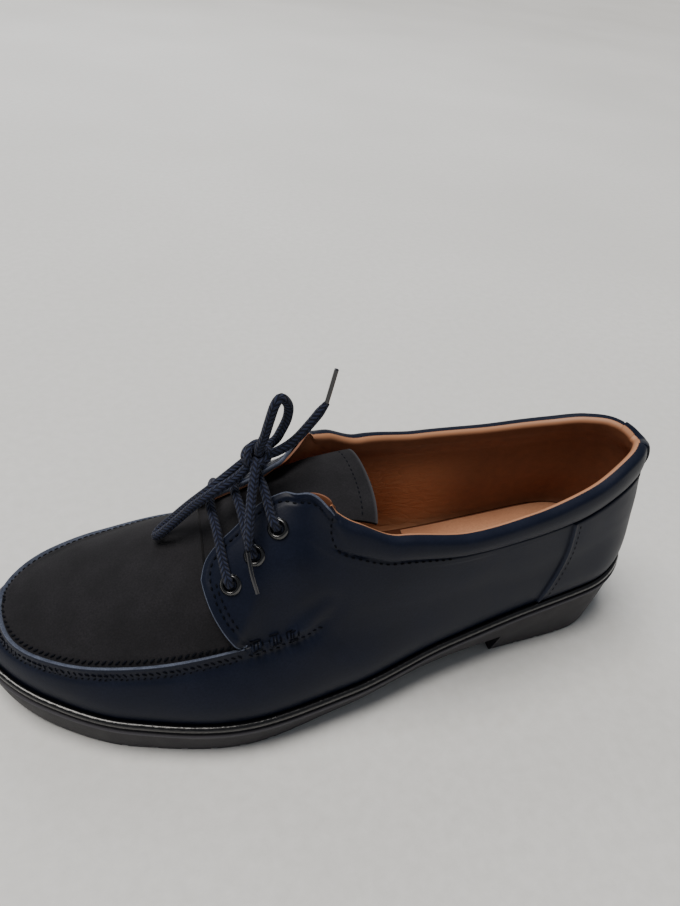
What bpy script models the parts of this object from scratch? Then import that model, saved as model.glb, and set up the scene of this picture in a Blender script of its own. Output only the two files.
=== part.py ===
"""Low lace-up shoe with a moccasin toe, a left foot, standing empty on its sole.

X runs from the toe to the heel, +Y is the inner (medial) side and +Z is up.
The origin is the middle of the sole's outline, on the floor. Every table holds
shares of the named sizes above it: lengths along the shoe as shares of
SHOE_LENGTH from its middle, widths as shares of half of BALL_WIDTH, and heights
as shares of the height that each column names.
"""
import math

import bmesh
import bpy
import numpy as np
from mathutils import Matrix, Vector

# Driving sizes of the last and the sole
SHOE_LENGTH = 0.262
BALL_WIDTH = 0.0954
RIM_AT_BALL = 0.015
RIM_AT_HEEL = 0.0335
TOE_SPRING = 0.0066
ARCH_HEIGHT = 0.0115
INSTEP_HEIGHT = 0.0835
BACK_HEIGHT = 0.083
TOE_SEAM_HEIGHT = 0.035

# Sole unit
RIM_RIDGE = 0.0016
RIM_RECESS = 0.0005
DECK_DROP = 0.0024
TREAD_PITCH = 0.0102
TREAD_GROOVE = 0.0022
TREAD_DEPTH = 0.0012
TREAD_GROOVES_FRONT = 8
TREAD_GROOVES_HEEL = 4
TREAD_FRONT = -0.345
TREAD_HEEL = 0.305
WAIST_START = -0.045
BREAST_PLACE = 0.256
BREAST_RAKE = 0.0016

# Upper
FEATHER_INSET = 0.0029
UPPER_WALL = 0.0022
FACING_LIFT = 0.0030
FACING_SPRING = 0.0054
FACING_THICKNESS = 0.0024
COLLAR_THICKNESS = 0.0045
COLLAR_BULGE = 0.0015
COLLAR_CREST = 0.0014
COUNTER_STEP = 0.0008
APRON_RIDGE = 0.0013
APRON_SHIFT = 0.0006
TONGUE_THICKNESS = 0.0020
WELT_WIDTH = 0.0020
WELT_RISE = 0.0007
INSOLE_THICKNESS = 0.0022
HEEL_PAD_THICKNESS = 0.0012

# Fastening
EYELET_FLANGE = 0.0036
EYELET_HOLE = 0.0018
EYELET_WALL = 0.0004
EYELET_FLANGE_THICKNESS = 0.0006
LACE_DIAMETER = 0.0032
AGLET_DIAMETER = 0.0018

# Clearances
SEAT_GAP = 0.0003
SKIN_GAP = 0.0004
CUTTER_REACH = 0.004

HALF = BALL_WIDTH / 2
LAP_TRACK = 0.41
SOLE_STATIONS = 36
PAD_STATIONS = 30

# Outline of the rim: track runs from the toe, 0, to the heel, 1
OUTLINE_COLUMNS = ("track", "half_width", "under_inset")
OUTLINE_ROWS = (
    (0.0, 0.0, 0.052),
    (0.1, 0.361, 0.052),
    (0.2, 0.669, 0.052),
    (0.3, 0.897, 0.052),
    (0.4, 1.0, 0.055),
    (0.5, 0.895, 0.11),
    (0.6, 0.734, 0.155),
    (0.68, 0.672, 0.09),
    (0.8, 0.612, 0.07),
    (0.9, 0.405, 0.08),
    (1.0, 0.0, 0.09),
)
# Middle line and heights along the shoe: along runs from the toe, 0, to the heel, 1
SPINE_COLUMNS = ("along", "middle", "toe_lift", "heel_rise", "toe_spring")
SPINE_ROWS = (
    (0.0, 0.138, 0.83, 0.0, 1.0),
    (0.1, 0.075, 0.38, 0.0, 0.23),
    (0.2, 0.031, 0.12, 0.0, 0.0),
    (0.35, 0.004, 0.0, 0.0, 0.0),
    (0.5, 0.036, 0.0, 0.075, 0.0),
    (0.65, 0.108, 0.0, 0.33, 0.0),
    (0.8, 0.188, 0.0, 0.645, 0.0),
    (0.9, 0.236, 0.0, 0.84, 0.0),
    (1.0, 0.270, 0.0, 1.0, 0.0),
)
# Apron seam: sweep is 0 at the toe and 1 where the facings cross it
APRON_START = -0.4557
APRON_RUN = 0.3573
APRON_COLUMNS = ("sweep", "half_width", "height")
APRON_ROWS = (
    (0.0, 0.0, 1.0),
    (0.2, 0.302, 0.923),
    (0.4, 0.512, 0.963),
    (0.6, 0.660, 1.031),
    (0.8, 0.730, 1.140),
    (1.0, 0.694, 1.280),
    (1.086, 0.681, 1.406),
    (1.22, 0.677, 1.486),
)
# Crown of the apron and tongue, and how flat its cross section is
CROWN_COLUMNS = ("place", "height", "flatness")
CROWN_ROWS = (
    (-0.456, 0.419, 2.2),
    (-0.401, 0.479, 2.3),
    (-0.328, 0.563, 2.4),
    (-0.229, 0.701, 2.5),
    (-0.191, 0.784, 2.6),
    (-0.153, 0.874, 2.6),
    (-0.130, 0.916, 2.6),
    (-0.099, 0.964, 2.7),
    (-0.069, 0.988, 3.2),
    (-0.034, 1.0, 4.0),
    (0.031, 0.988, 5.5),
)
# Vamp: where each rib of the vamp leaves the seam, turns, and meets the crown
VAMP_COLUMNS = ("track", "sweep", "turn_place", "turn_half", "crown_place", "bow")
VAMP_ROWS = (
    (0.0, 0.0, -0.4512, 0.0, -0.4458, 0.0),
    (0.1, 0.25, -0.412, 0.19, -0.408, 0.0),
    (0.2, 0.47, -0.351, 0.315, -0.347, 0.0),
    (0.3, 0.69, -0.277, 0.39, -0.275, 0.1),
    (0.36, 0.82, -0.233, 0.405, -0.232, 0.45),
    (0.41, 0.93, -0.192, 0.409, -0.192, 1.0),
)
# Quarters: middle line of the wall, top edge, and how each rib is finished
QUARTER_COLUMNS = ("track", "mid_place", "mid_half", "mid_instep", "mid_back",
                   "top_place", "top_half", "top_instep", "top_back",
                   "bow", "spring", "rise", "on_crown", "collar")
QUARTER_ROWS = (
    (0.410, -0.1469, 0.717, 0.515, 0.0, -0.1920, 0.409, 0.78, 0.0, 1.0, 0.0, 0.2, 1.0, 0.0),
    (0.418, -0.1393, 0.715, 0.522, 0.0, -0.1828, 0.298, 0.85, 0.0, 0.55, 0.0, 0.22, 1.0, 0.0),
    (0.430, -0.1279, 0.711, 0.528, 0.0, -0.1664, 0.237, 0.90, 0.0, 0.25, 0.0, 0.3, 1.0, 0.0),
    (0.445, -0.1145, 0.704, 0.535, 0.0, -0.1466, 0.197, 0.95, 0.0, 0.1, 0.05, 0.42, 1.0, 0.0),
    (0.460, -0.1011, 0.698, 0.544, 0.0, -0.1279, 0.155, 0.99, 0.0, 0.0, 0.2, 0.5, 1.0, 0.0),
    (0.478, -0.0840, 0.692, 0.554, 0.0, -0.1050, 0.128, 1.02, 0.0, 0.0, 0.48, 0.5, 1.0, 0.0),
    (0.494, -0.0687, 0.688, 0.565, 0.0, -0.0840, 0.145, 1.08, 0.0, 0.0, 0.85, 0.5, 1.0, 0.0),
    (0.508, -0.0515, 0.684, 0.578, 0.0, -0.0611, 0.252, 1.15, 0.0, 0.0, 1.0, 0.5, 0.45, 0.0),
    (0.522, -0.0344, 0.681, 0.589, 0.0, -0.0344, 0.407, 1.068, 0.0, 0.0, 1.0, 0.5, 0.0, 0.5),
    (0.545, 0.0038, 0.685, 0.599, 0.0, 0.0076, 0.482, 0.50, 0.492, 0.0, 0.0, 0.5, 0.0, 1.0),
    (0.565, 0.0477, 0.688, 0.30, 0.30, 0.0519, 0.518, 0.0, 0.937, 0.0, 0.0, 0.5, 0.0, 1.0),
    (0.612, 0.1527, 0.660, 0.0, 0.602, 0.1496, 0.551, 0.0, 0.898, 0.0, 0.0, 0.5, 0.0, 1.0),
    (0.672, 0.2595, 0.616, 0.0, 0.614, 0.2542, 0.499, 0.0, 0.910, 0.0, 0.0, 0.5, 0.0, 1.0),
    (0.715, 0.3321, 0.577, 0.0, 0.626, 0.3206, 0.440, 0.0, 0.940, 0.0, 0.0, 0.5, 0.0, 1.0),
    (0.765, 0.3760, 0.535, 0.0, 0.650, 0.3607, 0.386, 0.0, 0.965, 0.0, 0.0, 0.5, 0.0, 1.0),
    (0.840, 0.4351, 0.432, 0.0, 0.675, 0.4095, 0.277, 0.0, 1.012, 0.0, 0.0, 0.5, 0.0, 1.0),
    (0.910, 0.4750, 0.263, 0.0, 0.687, 0.4430, 0.160, 0.0, 1.030, 0.0, 0.0, 0.5, 0.0, 1.0),
    (1.0, 0.4962, 0.0, 0.0, 0.687, 0.4645, 0.0, 0.0, 1.0, 0.0, 0.0, 0.5, 0.0, 1.0),
)
BOW_PLACE = -0.0195
BOW_HALF = 0.108
COUNTER_TRACK = 0.7138
COLLAR_SEAM = 0.66

VAMP_TRACKS = (0.0, 0.02, 0.045, 0.075, 0.105, 0.14, 0.175, 0.21, 0.245, 0.28,
               0.315, 0.35, 0.382, 0.41)
QUARTER_TRACKS = (0.4114, 0.418, 0.430, 0.445, 0.46, 0.470, 0.480, 0.490, 0.500, 0.510,
                  0.522, 0.535, 0.55, 0.57, 0.595, 0.62, 0.65, 0.68, 0.7130, 0.7146, 0.735,
                  0.765, 0.795, 0.82, 0.845, 0.87, 0.895, 0.92, 0.945, 0.97, 1.0)
WALL_SHARES = (0.2, 0.45, 0.72, 0.93)
TOP_SHARES = (0.0, 0.03, 0.12, 0.25, 0.4, 0.55, 0.66, 0.72, 0.8, 0.9, 1.0)
CROWN_SHARES = (0.35, 0.7, 1.0)
INNER_ROWS = (0, 2, 4, 6, 8, 10, 12, 14, 15, 16)
MID_ROW = 6
TOP_ROW = 16

# Tongue: its half width and the curve of its free end
TONGUE_COLUMNS = ("run", "half_width")
TONGUE_ROWS = (
    (0.0, 0.365),
    (0.2, 0.435),
    (0.4, 0.425),
    (0.55, 0.350),
    (0.70, 0.345),
    (1.0, 0.420),
)
TONGUE_END = 0.0351
TONGUE_END_CURVE = 0.0021
TONGUE_SETBACK = 0.0013

# Eyelets, lowest first: the rib that each is on and its share up that rib
EYELET_ROWS = (
    (0.4260, 0.58),
    (0.4520, 0.62),
    (0.4800, 0.68),
)

# Top of each bar: place along the shoe and metres above the crown there
BAR_BRIDGES = ((-0.1775, 0.0090), (-0.1469, 0.0095), (-0.1191, 0.01245))
BAR_CROWN = 0.0016
BAR_START_GAP = 0.0002
BAR_LEAVE = 0.0022


def interpolate(xs, ys):
    """A smooth curve through the points that never overshoots them."""
    xs = np.asarray(xs, float)
    ys = np.asarray(ys, float)
    step = np.diff(xs)
    slope = np.diff(ys) / step
    tangent = np.zeros(len(xs))
    for k in range(1, len(xs) - 1):
        if slope[k - 1] * slope[k] > 0:
            before = 2 * step[k] + step[k - 1]
            after = step[k] + 2 * step[k - 1]
            tangent[k] = (before + after) / (before / slope[k - 1] + after / slope[k])
    tangent[0] = end_slope(step[0], step[1], slope[0], slope[1]) if len(step) > 1 else slope[0]
    tangent[-1] = end_slope(step[-1], step[-2], slope[-1], slope[-2]) if len(step) > 1 else slope[0]

    def value(x):
        x = np.clip(np.asarray(x, float), xs[0], xs[-1])
        k = np.clip(np.searchsorted(xs, x) - 1, 0, len(xs) - 2)
        h = step[k]
        s = (x - xs[k]) / h
        return ((1 + 2 * s) * (1 - s) ** 2 * ys[k] + s * (1 - s) ** 2 * h * tangent[k]
                + s * s * (3 - 2 * s) * ys[k + 1] + s * s * (s - 1) * h * tangent[k + 1])
    return value


def end_slope(near, far, slope_near, slope_far):
    """Slope at the end of a curve, from its first two stretches."""
    slope = ((2 * near + far) * slope_near - near * slope_far) / (near + far)
    if slope * slope_near <= 0:
        return 0.0
    if slope_near * slope_far < 0 and abs(slope) > 3 * abs(slope_near):
        return 3 * slope_near
    return slope


def curves(columns, rows):
    """A table as one smooth curve of its first column for each other column."""
    table = np.array(rows, float)
    return {name: interpolate(table[:, 0], table[:, k])
            for k, name in enumerate(columns) if k > 0}


OUTLINE = curves(OUTLINE_COLUMNS, OUTLINE_ROWS)
SPINE = curves(SPINE_COLUMNS, SPINE_ROWS)
APRON = curves(APRON_COLUMNS, APRON_ROWS)
CROWN = curves(CROWN_COLUMNS, CROWN_ROWS)
VAMP = curves(VAMP_COLUMNS, VAMP_ROWS)
QUARTER = curves(QUARTER_COLUMNS, QUARTER_ROWS)
TONGUE = curves(TONGUE_COLUMNS, TONGUE_ROWS)


def smoothstep(low, high, x):
    """0 below low, 1 above high and a soft rise between them."""
    s = np.clip((np.asarray(x, float) - low) / (high - low), 0, 1)
    return s * s * (3 - 2 * s)


def along(x):
    """Share of the length from the toe at a place x in metres."""
    return np.clip(x / SHOE_LENGTH + 0.5, 0, 1)


def rim_half(track):
    """Half width of the rim, carried on past the toe and the heel."""
    track = np.asarray(track, float)
    sign = np.where((track < 0) | (track > 1), -1.0, 1.0)
    inside = np.where(track < 0, -track, np.where(track > 1, 2 - track, track))
    return sign * OUTLINE["half_width"](inside) * HALF


def raw_middle(x):
    """Middle line of the last before the shoe is centred on its width."""
    return SPINE["middle"](along(x)) * HALF


def rim_place(track, side):
    """Plan position on the rim before the shoe is centred on its width."""
    x = -SHOE_LENGTH / 2 * np.cos(math.pi * np.asarray(track, float))
    return x, raw_middle(x) + side * rim_half(track)


def centring_shift():
    """How far the outline lies off the middle of its own width."""
    tracks = np.linspace(0, 1, 400)
    outer = rim_place(tracks, -1)[1].min()
    inner = rim_place(tracks, 1)[1].max()
    return (outer + inner) / 2


CENTRING = centring_shift()


def middle(x):
    """Middle line of the last at a place x."""
    return raw_middle(x) - CENTRING


def rim_height(x):
    """Height of the rim, where the upper meets the sole."""
    share = along(x)
    rise = (RIM_AT_HEEL - RIM_AT_BALL) * SPINE["heel_rise"](share)
    return RIM_AT_BALL + rise + TOE_SPRING * SPINE["toe_lift"](share)


def deck_height(x):
    """Height of the sole's upper face."""
    return rim_height(x) - DECK_DROP


def outline(track, side, inset=0.0):
    """Plan position on the rim, moved inwards across it by inset."""
    small = 1e-4
    track = np.asarray(track, float)
    x, y = rim_place(track, side)
    x_before, y_before = rim_place(track - small, side)
    x_after, y_after = rim_place(track + small, side)
    dx = x_after - x_before
    dy = y_after - y_before
    length = np.hypot(dx, dy)
    return x + side * inset * dy / length, y - side * inset * dx / length - CENTRING


def loop_tracks(count):
    """Tracks and sides of a closed loop: outer side to the heel, inner side back."""
    tracks = np.linspace(0, 1, count + 1)
    return ([(t, -1) for t in tracks] + [(t, 1) for t in tracks[-2:0:-1]])


def apron_half(sweep):
    """Half width of the apron seam."""
    return APRON["half_width"](sweep) * HALF


def apron_height(sweep):
    """Height of the apron seam."""
    return APRON["height"](sweep) * TOE_SEAM_HEIGHT


def apron_sweep(x):
    """Sweep of the apron seam at a place x."""
    start = APRON_START * SHOE_LENGTH
    return np.sqrt(np.clip((x - start) / (APRON_RUN * SHOE_LENGTH), 0, 1.22 ** 2))


def instep_height(x, half):
    """Height of the apron and tongue surface at a half width from the middle."""
    sweep = apron_sweep(x)
    edge = np.maximum(apron_half(sweep), 1e-4)
    crown = CROWN["height"](x / SHOE_LENGTH) * INSTEP_HEIGHT
    share = np.clip(np.abs(half) / edge, 0, 1) ** CROWN["flatness"](x / SHOE_LENGTH)
    return crown + (apron_height(sweep) - crown) * share


def place(x, half, side, z, shift=0.0):
    """A point at a half width from the middle line."""
    return np.array([x, middle(x) + shift + side * half, z])


def hermite(start, end, leave, arrive, s):
    """Point on a cubic between two points with given tangents."""
    return (start * (1 + 2 * s) * (1 - s) ** 2 + leave * s * (1 - s) ** 2
            + end * s * s * (3 - 2 * s) + arrive * s * s * (s - 1))


def wall_points(track, side, mid, towards):
    """Points of one rib from its hidden foot up to the middle of the wall."""
    x, y = outline(track, side, FEATHER_INSET)
    foot = np.array([x, y, deck_height(x) + SEAT_GAP])
    feather = np.array([x, y, rim_height(x) + WELT_RISE])
    outer_x, outer_y = outline(track, side, 0.0)
    outward = np.array([outer_x - x, outer_y - y, 0.0]) / FEATHER_INSET
    reach = np.linalg.norm(mid - feather)
    leave = (np.array([0, 0, 0.9]) + outward * 0.22) * reach
    arrive = (towards - feather) / np.linalg.norm(towards - feather) * reach
    ribs = [foot, feather]
    ribs += [hermite(feather, mid, leave, arrive, s) for s in WALL_SHARES]
    return ribs


def bowed_plan(start, end, bow, side, s):
    """Plan position between two points, bowed forward and outward."""
    control = (start + end) / 2 + bow * np.array([BOW_PLACE * SHOE_LENGTH, side * BOW_HALF * HALF])
    return start * (1 - s) ** 2 + control * 2 * s * (1 - s) + end * s * s


def vamp_rib(track, side):
    """Points of one rib of the vamp, from the feather over the apron to its crown."""
    sweep = float(VAMP["sweep"](track))
    seam_x = (APRON_START + APRON_RUN * sweep ** 2) * SHOE_LENGTH
    shift = -APRON_SHIFT
    mid = place(seam_x, apron_half(sweep), side, apron_height(sweep), shift)
    turn_x = float(VAMP["turn_place"](track)) * SHOE_LENGTH
    turn_half = float(VAMP["turn_half"](track)) * HALF
    turn = place(turn_x, turn_half, side, instep_height(turn_x, turn_half), shift)
    points = wall_points(track, side, mid, turn)
    bow = float(VAMP["bow"](track))
    for s in TOP_SHARES:
        plan = bowed_plan(mid[:2], turn[:2], bow, side, s)
        half = abs(plan[1] - middle(plan[0]) - shift)
        points.append(np.array([plan[0], plan[1], instep_height(plan[0], half)]))
    crown_x = float(VAMP["crown_place"](track)) * SHOE_LENGTH
    for s in CROWN_SHARES:
        x = turn_x + (crown_x - turn_x) * s
        half = turn_half * (1 - s)
        points.append(place(x, half, side, instep_height(x, half), shift))
    return points


def top_edge(track, side):
    """Inner top edge of a quarter: the throat, then the topline to the heel."""
    x = float(QUARTER["top_place"](track)) * SHOE_LENGTH
    half = float(QUARTER["top_half"](track)) * HALF
    free = (QUARTER["top_instep"](track) * INSTEP_HEIGHT
            + QUARTER["top_back"](track) * BACK_HEIGHT)
    on_crown = float(QUARTER["on_crown"](track))
    laid = instep_height(x, half) + facing_spring(track, 1.0)
    z = on_crown * laid + (1 - on_crown) * float(free)
    return place(x, half, side, z, -APRON_SHIFT * on_crown)


def outward_of_top(track, side):
    """Level direction out of the topline."""
    small = 2e-3
    before = top_edge(max(track - small, LAP_TRACK), side)
    after = top_edge(min(track + small, 1.0), side)
    if track >= 1.0:
        return np.array([1.0, 0.0, 0.0])
    run = after - before
    normal = np.array([-side * run[1], side * run[0], 0.0])
    return normal / np.linalg.norm(normal)


def quarter_frame(track, side):
    """Middle, top and tangents of one rib of a quarter."""
    on_crown = float(QUARTER["on_crown"](track))
    collar = float(QUARTER["collar"](track))
    x = float(QUARTER["mid_place"](track)) * SHOE_LENGTH
    half = float(QUARTER["mid_half"](track)) * HALF
    free = QUARTER["mid_instep"](track) * INSTEP_HEIGHT + QUARTER["mid_back"](track) * BACK_HEIGHT
    z = on_crown * instep_height(x, half) + (1 - on_crown) * float(free)
    mid = place(x, half, side, z, -APRON_SHIFT * on_crown)
    top = top_edge(track, side) + outward_of_top(track, side) * COLLAR_THICKNESS * collar
    foot_x, foot_y = outline(track, side, FEATHER_INSET)
    feather = np.array([foot_x, foot_y, rim_height(foot_x) + WELT_RISE])
    run = np.linalg.norm(top - mid)
    leave = (top - feather) / np.linalg.norm(top - feather) * run
    return mid, top, leave, float(QUARTER["bow"](track)), on_crown, track


def facing_spring(track, share):
    """How far a facing springs up off the tongue at a share of its rib."""
    return FACING_SPRING * float(QUARTER["spring"](track)) * share ** 2


def upper_point(frame, side, share):
    """Point of a quarter's rib at a share of the way from its middle to its top."""
    mid, top, leave, bow, on_crown, track = frame
    loose = hermite(mid, top, leave, top - mid, share)
    plan = bowed_plan(mid[:2], top[:2], bow, side, share)
    half = abs(plan[1] - middle(plan[0]) + APRON_SHIFT)
    height = float(instep_height(plan[0], half)) + facing_spring(track, share)
    laid = np.array([plan[0], plan[1], height])
    return laid * on_crown + loose * (1 - on_crown)


def quarter_rib(track, side):
    """Points of one rib of a quarter, from the feather to its top edge."""
    frame = quarter_frame(track, side)
    points = wall_points(track, side, frame[0], frame[1])
    return points + [upper_point(frame, side, share) for share in TOP_SHARES]


def row_share(row):
    """Share of the way from the middle of the wall to the top edge."""
    return TOP_SHARES[min(max(row - MID_ROW, 0), len(TOP_SHARES) - 1)]


def ridge(row):
    """Height share of the stitched ridge that follows the apron seam."""
    return {MID_ROW - 1: 0.25, MID_ROW: 1.0, MID_ROW + 1: 0.75}.get(row, 0.0)


def outer_relief(track, row):
    """How far the outer face stands off the base surface."""
    if track <= LAP_TRACK:
        return APRON_RIDGE * ridge(row)
    share = row_share(row) if row >= MID_ROW else 0.0
    relief = facing_relief(track, share)
    relief += APRON_RIDGE * ridge(row) * float(1 - smoothstep(0.503, 0.515, track))
    collar = float(QUARTER["collar"](track))
    roll = max(0.0, (share - COLLAR_SEAM) / (1 - COLLAR_SEAM))
    relief += COLLAR_BULGE * collar * math.sin(math.pi * min(1.0, 0.12 + 0.88 * roll)) * (roll > 0)
    if track > COUNTER_TRACK and row > 1 and share <= COLLAR_SEAM:
        relief += COUNTER_STEP
    return relief


def inner_depth(track, row):
    """How deep the inner face lies under the base surface."""
    if track <= LAP_TRACK:
        return UPPER_WALL
    share = row_share(row) if row >= MID_ROW else 0.0
    facing = float(smoothstep(0.12, 0.3, share))
    collar = float(QUARTER["collar"](track)) * float(smoothstep(0.55, 0.9, share))
    laid = float(QUARTER["on_crown"](track)) * facing
    depth = UPPER_WALL + (FACING_THICKNESS - UPPER_WALL) * laid
    depth -= facing_relief(track, share) * facing
    return depth + (COLLAR_THICKNESS - UPPER_WALL) * collar


class Shell:
    """Base surface of the upper: shared points, their reliefs and their faces."""

    def __init__(self):
        self.points = []
        self.reliefs = []
        self.depths = []
        self.keys = {}
        self.ribs = {}

    def add_point(self, point, relief, depth):
        """Index of a point, shared with any earlier point at the same place."""
        key = tuple(int(round(value * 1e7)) for value in point)
        if key not in self.keys:
            self.keys[key] = len(self.points)
            self.points.append(point)
            self.reliefs.append(relief)
            self.depths.append(depth)
        return self.keys[key]

    def add_rib(self, track, side, points):
        """One rib of the surface, row by row from its foot."""
        self.ribs[side, track] = [
            self.add_point(point, outer_relief(track, row), inner_depth(track, row))
            for row, point in enumerate(points)]

    def faces(self, rows_below, rows_vamp):
        """Quads between neighbouring ribs, on the chosen rows."""
        result = []
        tracks = VAMP_TRACKS + QUARTER_TRACKS
        for side in (-1, 1):
            for first, second in zip(tracks, tracks[1:]):
                rows = rows_vamp if second <= LAP_TRACK else rows_below
                near = self.ribs[side, first]
                far = self.ribs[side, second]
                for low, high in zip(rows, rows[1:]):
                    quad = [near[low], far[low], far[high], near[high]]
                    if side > 0:
                        quad.reverse()
                    quad = [v for k, v in enumerate(quad) if v != quad[k - 1]]
                    if len(quad) > 2:
                        result.append(quad)
        return result

    def normals(self, faces):
        """Outward normals at the points, from the faces around them."""
        points = np.array(self.points)
        total = np.zeros_like(points)
        for face in faces:
            corners = points[face]
            normal = np.cross(corners[2] - corners[0], corners[-1] - corners[1])
            for index in face:
                total[index] += normal
        return total / np.linalg.norm(total, axis=1, keepdims=True)

    def opening(self):
        """Points round the throat and topline, and how collared each is."""
        path = []
        quarter = list(QUARTER_TRACKS)
        lap = VAMP_TRACKS[-1]
        for track in reversed(quarter):
            path.append((self.ribs[-1, track][TOP_ROW], float(QUARTER["collar"](track))))
        for row in range(TOP_ROW, TOP_ROW + len(CROWN_SHARES) + 1):
            path.append((self.ribs[-1, lap][row], 0.0))
        for row in range(TOP_ROW + len(CROWN_SHARES) - 1, TOP_ROW - 1, -1):
            path.append((self.ribs[1, lap][row], 0.0))
        for track in quarter[:-1]:
            path.append((self.ribs[1, track][TOP_ROW], float(QUARTER["collar"](track))))
        return path

    def foot(self):
        """Points round the foot of the wall."""
        tracks = VAMP_TRACKS + QUARTER_TRACKS
        path = [self.ribs[-1, track][0] for track in reversed(tracks)]
        return path + [self.ribs[1, track][0] for track in tracks[1:-1]]


def base_shell():
    """The upper's base surface, both sides."""
    shell = Shell()
    for side in (-1, 1):
        for track in VAMP_TRACKS:
            shell.add_rib(track, side, vamp_rib(track, side))
        for track in QUARTER_TRACKS:
            shell.add_rib(track, side, quarter_rib(track, side))
    return shell


def material(name, colour, roughness, metallic=0.0):
    """A Principled material of one colour, given in linear light."""
    result = bpy.data.materials.new(name)
    result.use_nodes = True
    shader = result.node_tree.nodes["Principled BSDF"]
    shader.inputs["Base Color"].default_value = (*colour, 1.0)
    shader.inputs["Roughness"].default_value = roughness
    shader.inputs["Metallic"].default_value = metallic
    return result


def add_object(name, mesh, finish, smooth_angle=35.0):
    """Link a mesh as a named object with its own material, shaded smooth."""
    mesh.materials.append(finish)
    item = bpy.data.objects.new(name, mesh)
    bpy.context.scene.collection.objects.link(item)
    mesh.shade_smooth()
    mesh.set_sharp_from_angle(angle=math.radians(smooth_angle))
    return item


def closed_mesh(name, points, faces):
    """A mesh with its faces turned outward and split into triangles."""
    mesh = bpy.data.meshes.new(name)
    mesh.from_pydata([tuple(point) for point in points], [], faces)
    work = bmesh.new()
    work.from_mesh(mesh)
    bmesh.ops.triangulate(work, faces=work.faces)
    bmesh.ops.recalc_face_normals(work, faces=work.faces)
    work.to_mesh(mesh)
    work.free()
    return mesh


def ring_solid(name, sections):
    """A closed solid swept through sections, joined back to the first."""
    count = len(sections)
    size = len(sections[0])
    points = [point for section in sections for point in section]
    faces = []
    for k in range(count):
        after = (k + 1) % count
        for j in range(size):
            beside = (j + 1) % size
            faces.append([k * size + j, after * size + j, after * size + beside, k * size + beside])
    return closed_mesh(name, points, faces)


def layered_solid(name, layers, side_pairs):
    """A closed solid of stacked loops, its ends closed by strips across the shoe."""
    size = len(layers[0])
    points = [point for layer in layers for point in layer]
    faces = []
    for k in range(len(layers) - 1):
        for j in range(size):
            beside = (j + 1) % size
            faces.append([k * size + j, k * size + beside, (k + 1) * size + beside,
                          (k + 1) * size + j])
    for start in (0, (len(layers) - 1) * size):
        for (a, b), (c, d) in zip(side_pairs, side_pairs[1:]):
            quad = [start + v for v in (a, b, d, c)]
            quad = [v for k, v in enumerate(quad) if v != quad[k - 1]]
            faces.append(quad)
    return closed_mesh(name, points, faces)


def across_pairs(size):
    """Matching points of a loop's two sides, from the toe to the heel."""
    return [(k, (size - k) % size) for k in range(size // 2 + 1)]


def add_cutter(name, mesh):
    """A tool for a Boolean cut: hidden, and drawn as a wire."""
    item = bpy.data.objects.new(name, mesh)
    bpy.context.scene.collection.objects.link(item)
    item.hide_render = True
    item.display_type = "WIRE"
    return item


def cut(item, cutter):
    """Cut one object with another."""
    step = item.modifiers.new("Cut " + cutter.name, "BOOLEAN")
    step.operation = "DIFFERENCE"
    step.solver = "EXACT"
    step.object = cutter


def prism_across(name, profile, reach):
    """A solid with a profile in X and Z, run across the shoe."""
    size = len(profile)
    points = [(x, y, z) for y in (-reach, reach) for x, z in profile]
    faces = [list(range(size)), list(range(2 * size - 1, size - 1, -1))]
    faces += [[k, (k + 1) % size, size + (k + 1) % size, size + k] for k in range(size)]
    return closed_mesh(name, points, faces)


def underside(x):
    """Height of the sole's under edge: the toe spring, then the floor."""
    return TOE_SPRING * SPINE["toe_spring"](along(x))


def sole_layers():
    """Loops of the sole unit from its deck down to its tread."""
    ring = loop_tracks(SOLE_STATIONS)
    top_cut = 0.0004
    levels = (
        (top_cut, DECK_DROP),
        (0.0, DECK_DROP + top_cut),
        (0.0, DECK_DROP + RIM_RIDGE),
        (RIM_RECESS, DECK_DROP + RIM_RIDGE + RIM_RECESS),
    )
    layers = [[side_point(t, side, inset, drop) for t, side in ring] for inset, drop in levels]
    for depth, lean in ((0.55, 0.45), (0.88, 0.85), (1.0, 1.1)):
        layers.append([under_point(t, side, depth, lean, levels[-1]) for t, side in ring])
    return layers


def side_point(track, side, inset, drop):
    """A point on the sole's side at a drop below the rim."""
    x, y = outline(track, side, inset)
    rim_x, _ = outline(track, side)
    return x, y, rim_height(rim_x) - drop


def under_point(track, side, depth, lean, start):
    """A point part of the way from the rim ridge down to the tread."""
    under = float(OUTLINE["under_inset"](track)) * HALF
    inset = start[0] + (under - start[0]) * lean
    x, y = outline(track, side, inset)
    rim_x, _ = outline(track, side)
    top = rim_height(rim_x) - start[1]
    return x, y, top + (underside(rim_x) - top) * depth


def waist_cutter():
    """The space under the arch, back to the raked face of the heel."""
    front = WAIST_START * SHOE_LENGTH
    breast = BREAST_PLACE * SHOE_LENGTH
    rise = interpolate((0.0, 0.25, 0.55, 0.85, 1.0), (0.0, 0.10, 0.50, 0.90, 1.0))
    steps = np.linspace(0, 1, 12)
    profile = [(front - CUTTER_REACH / 2, -CUTTER_REACH), (front, 0.0)]
    profile += [(front + (breast + BREAST_RAKE - front) * s, ARCH_HEIGHT * float(rise(s)))
                for s in steps[1:]]
    lean = BREAST_RAKE / ARCH_HEIGHT
    profile += [(breast, 0.0), (breast - lean * CUTTER_REACH, -CUTTER_REACH)]
    return add_cutter("waist_cutter", prism_across("waist_cutter", profile, BALL_WIDTH))


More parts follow.
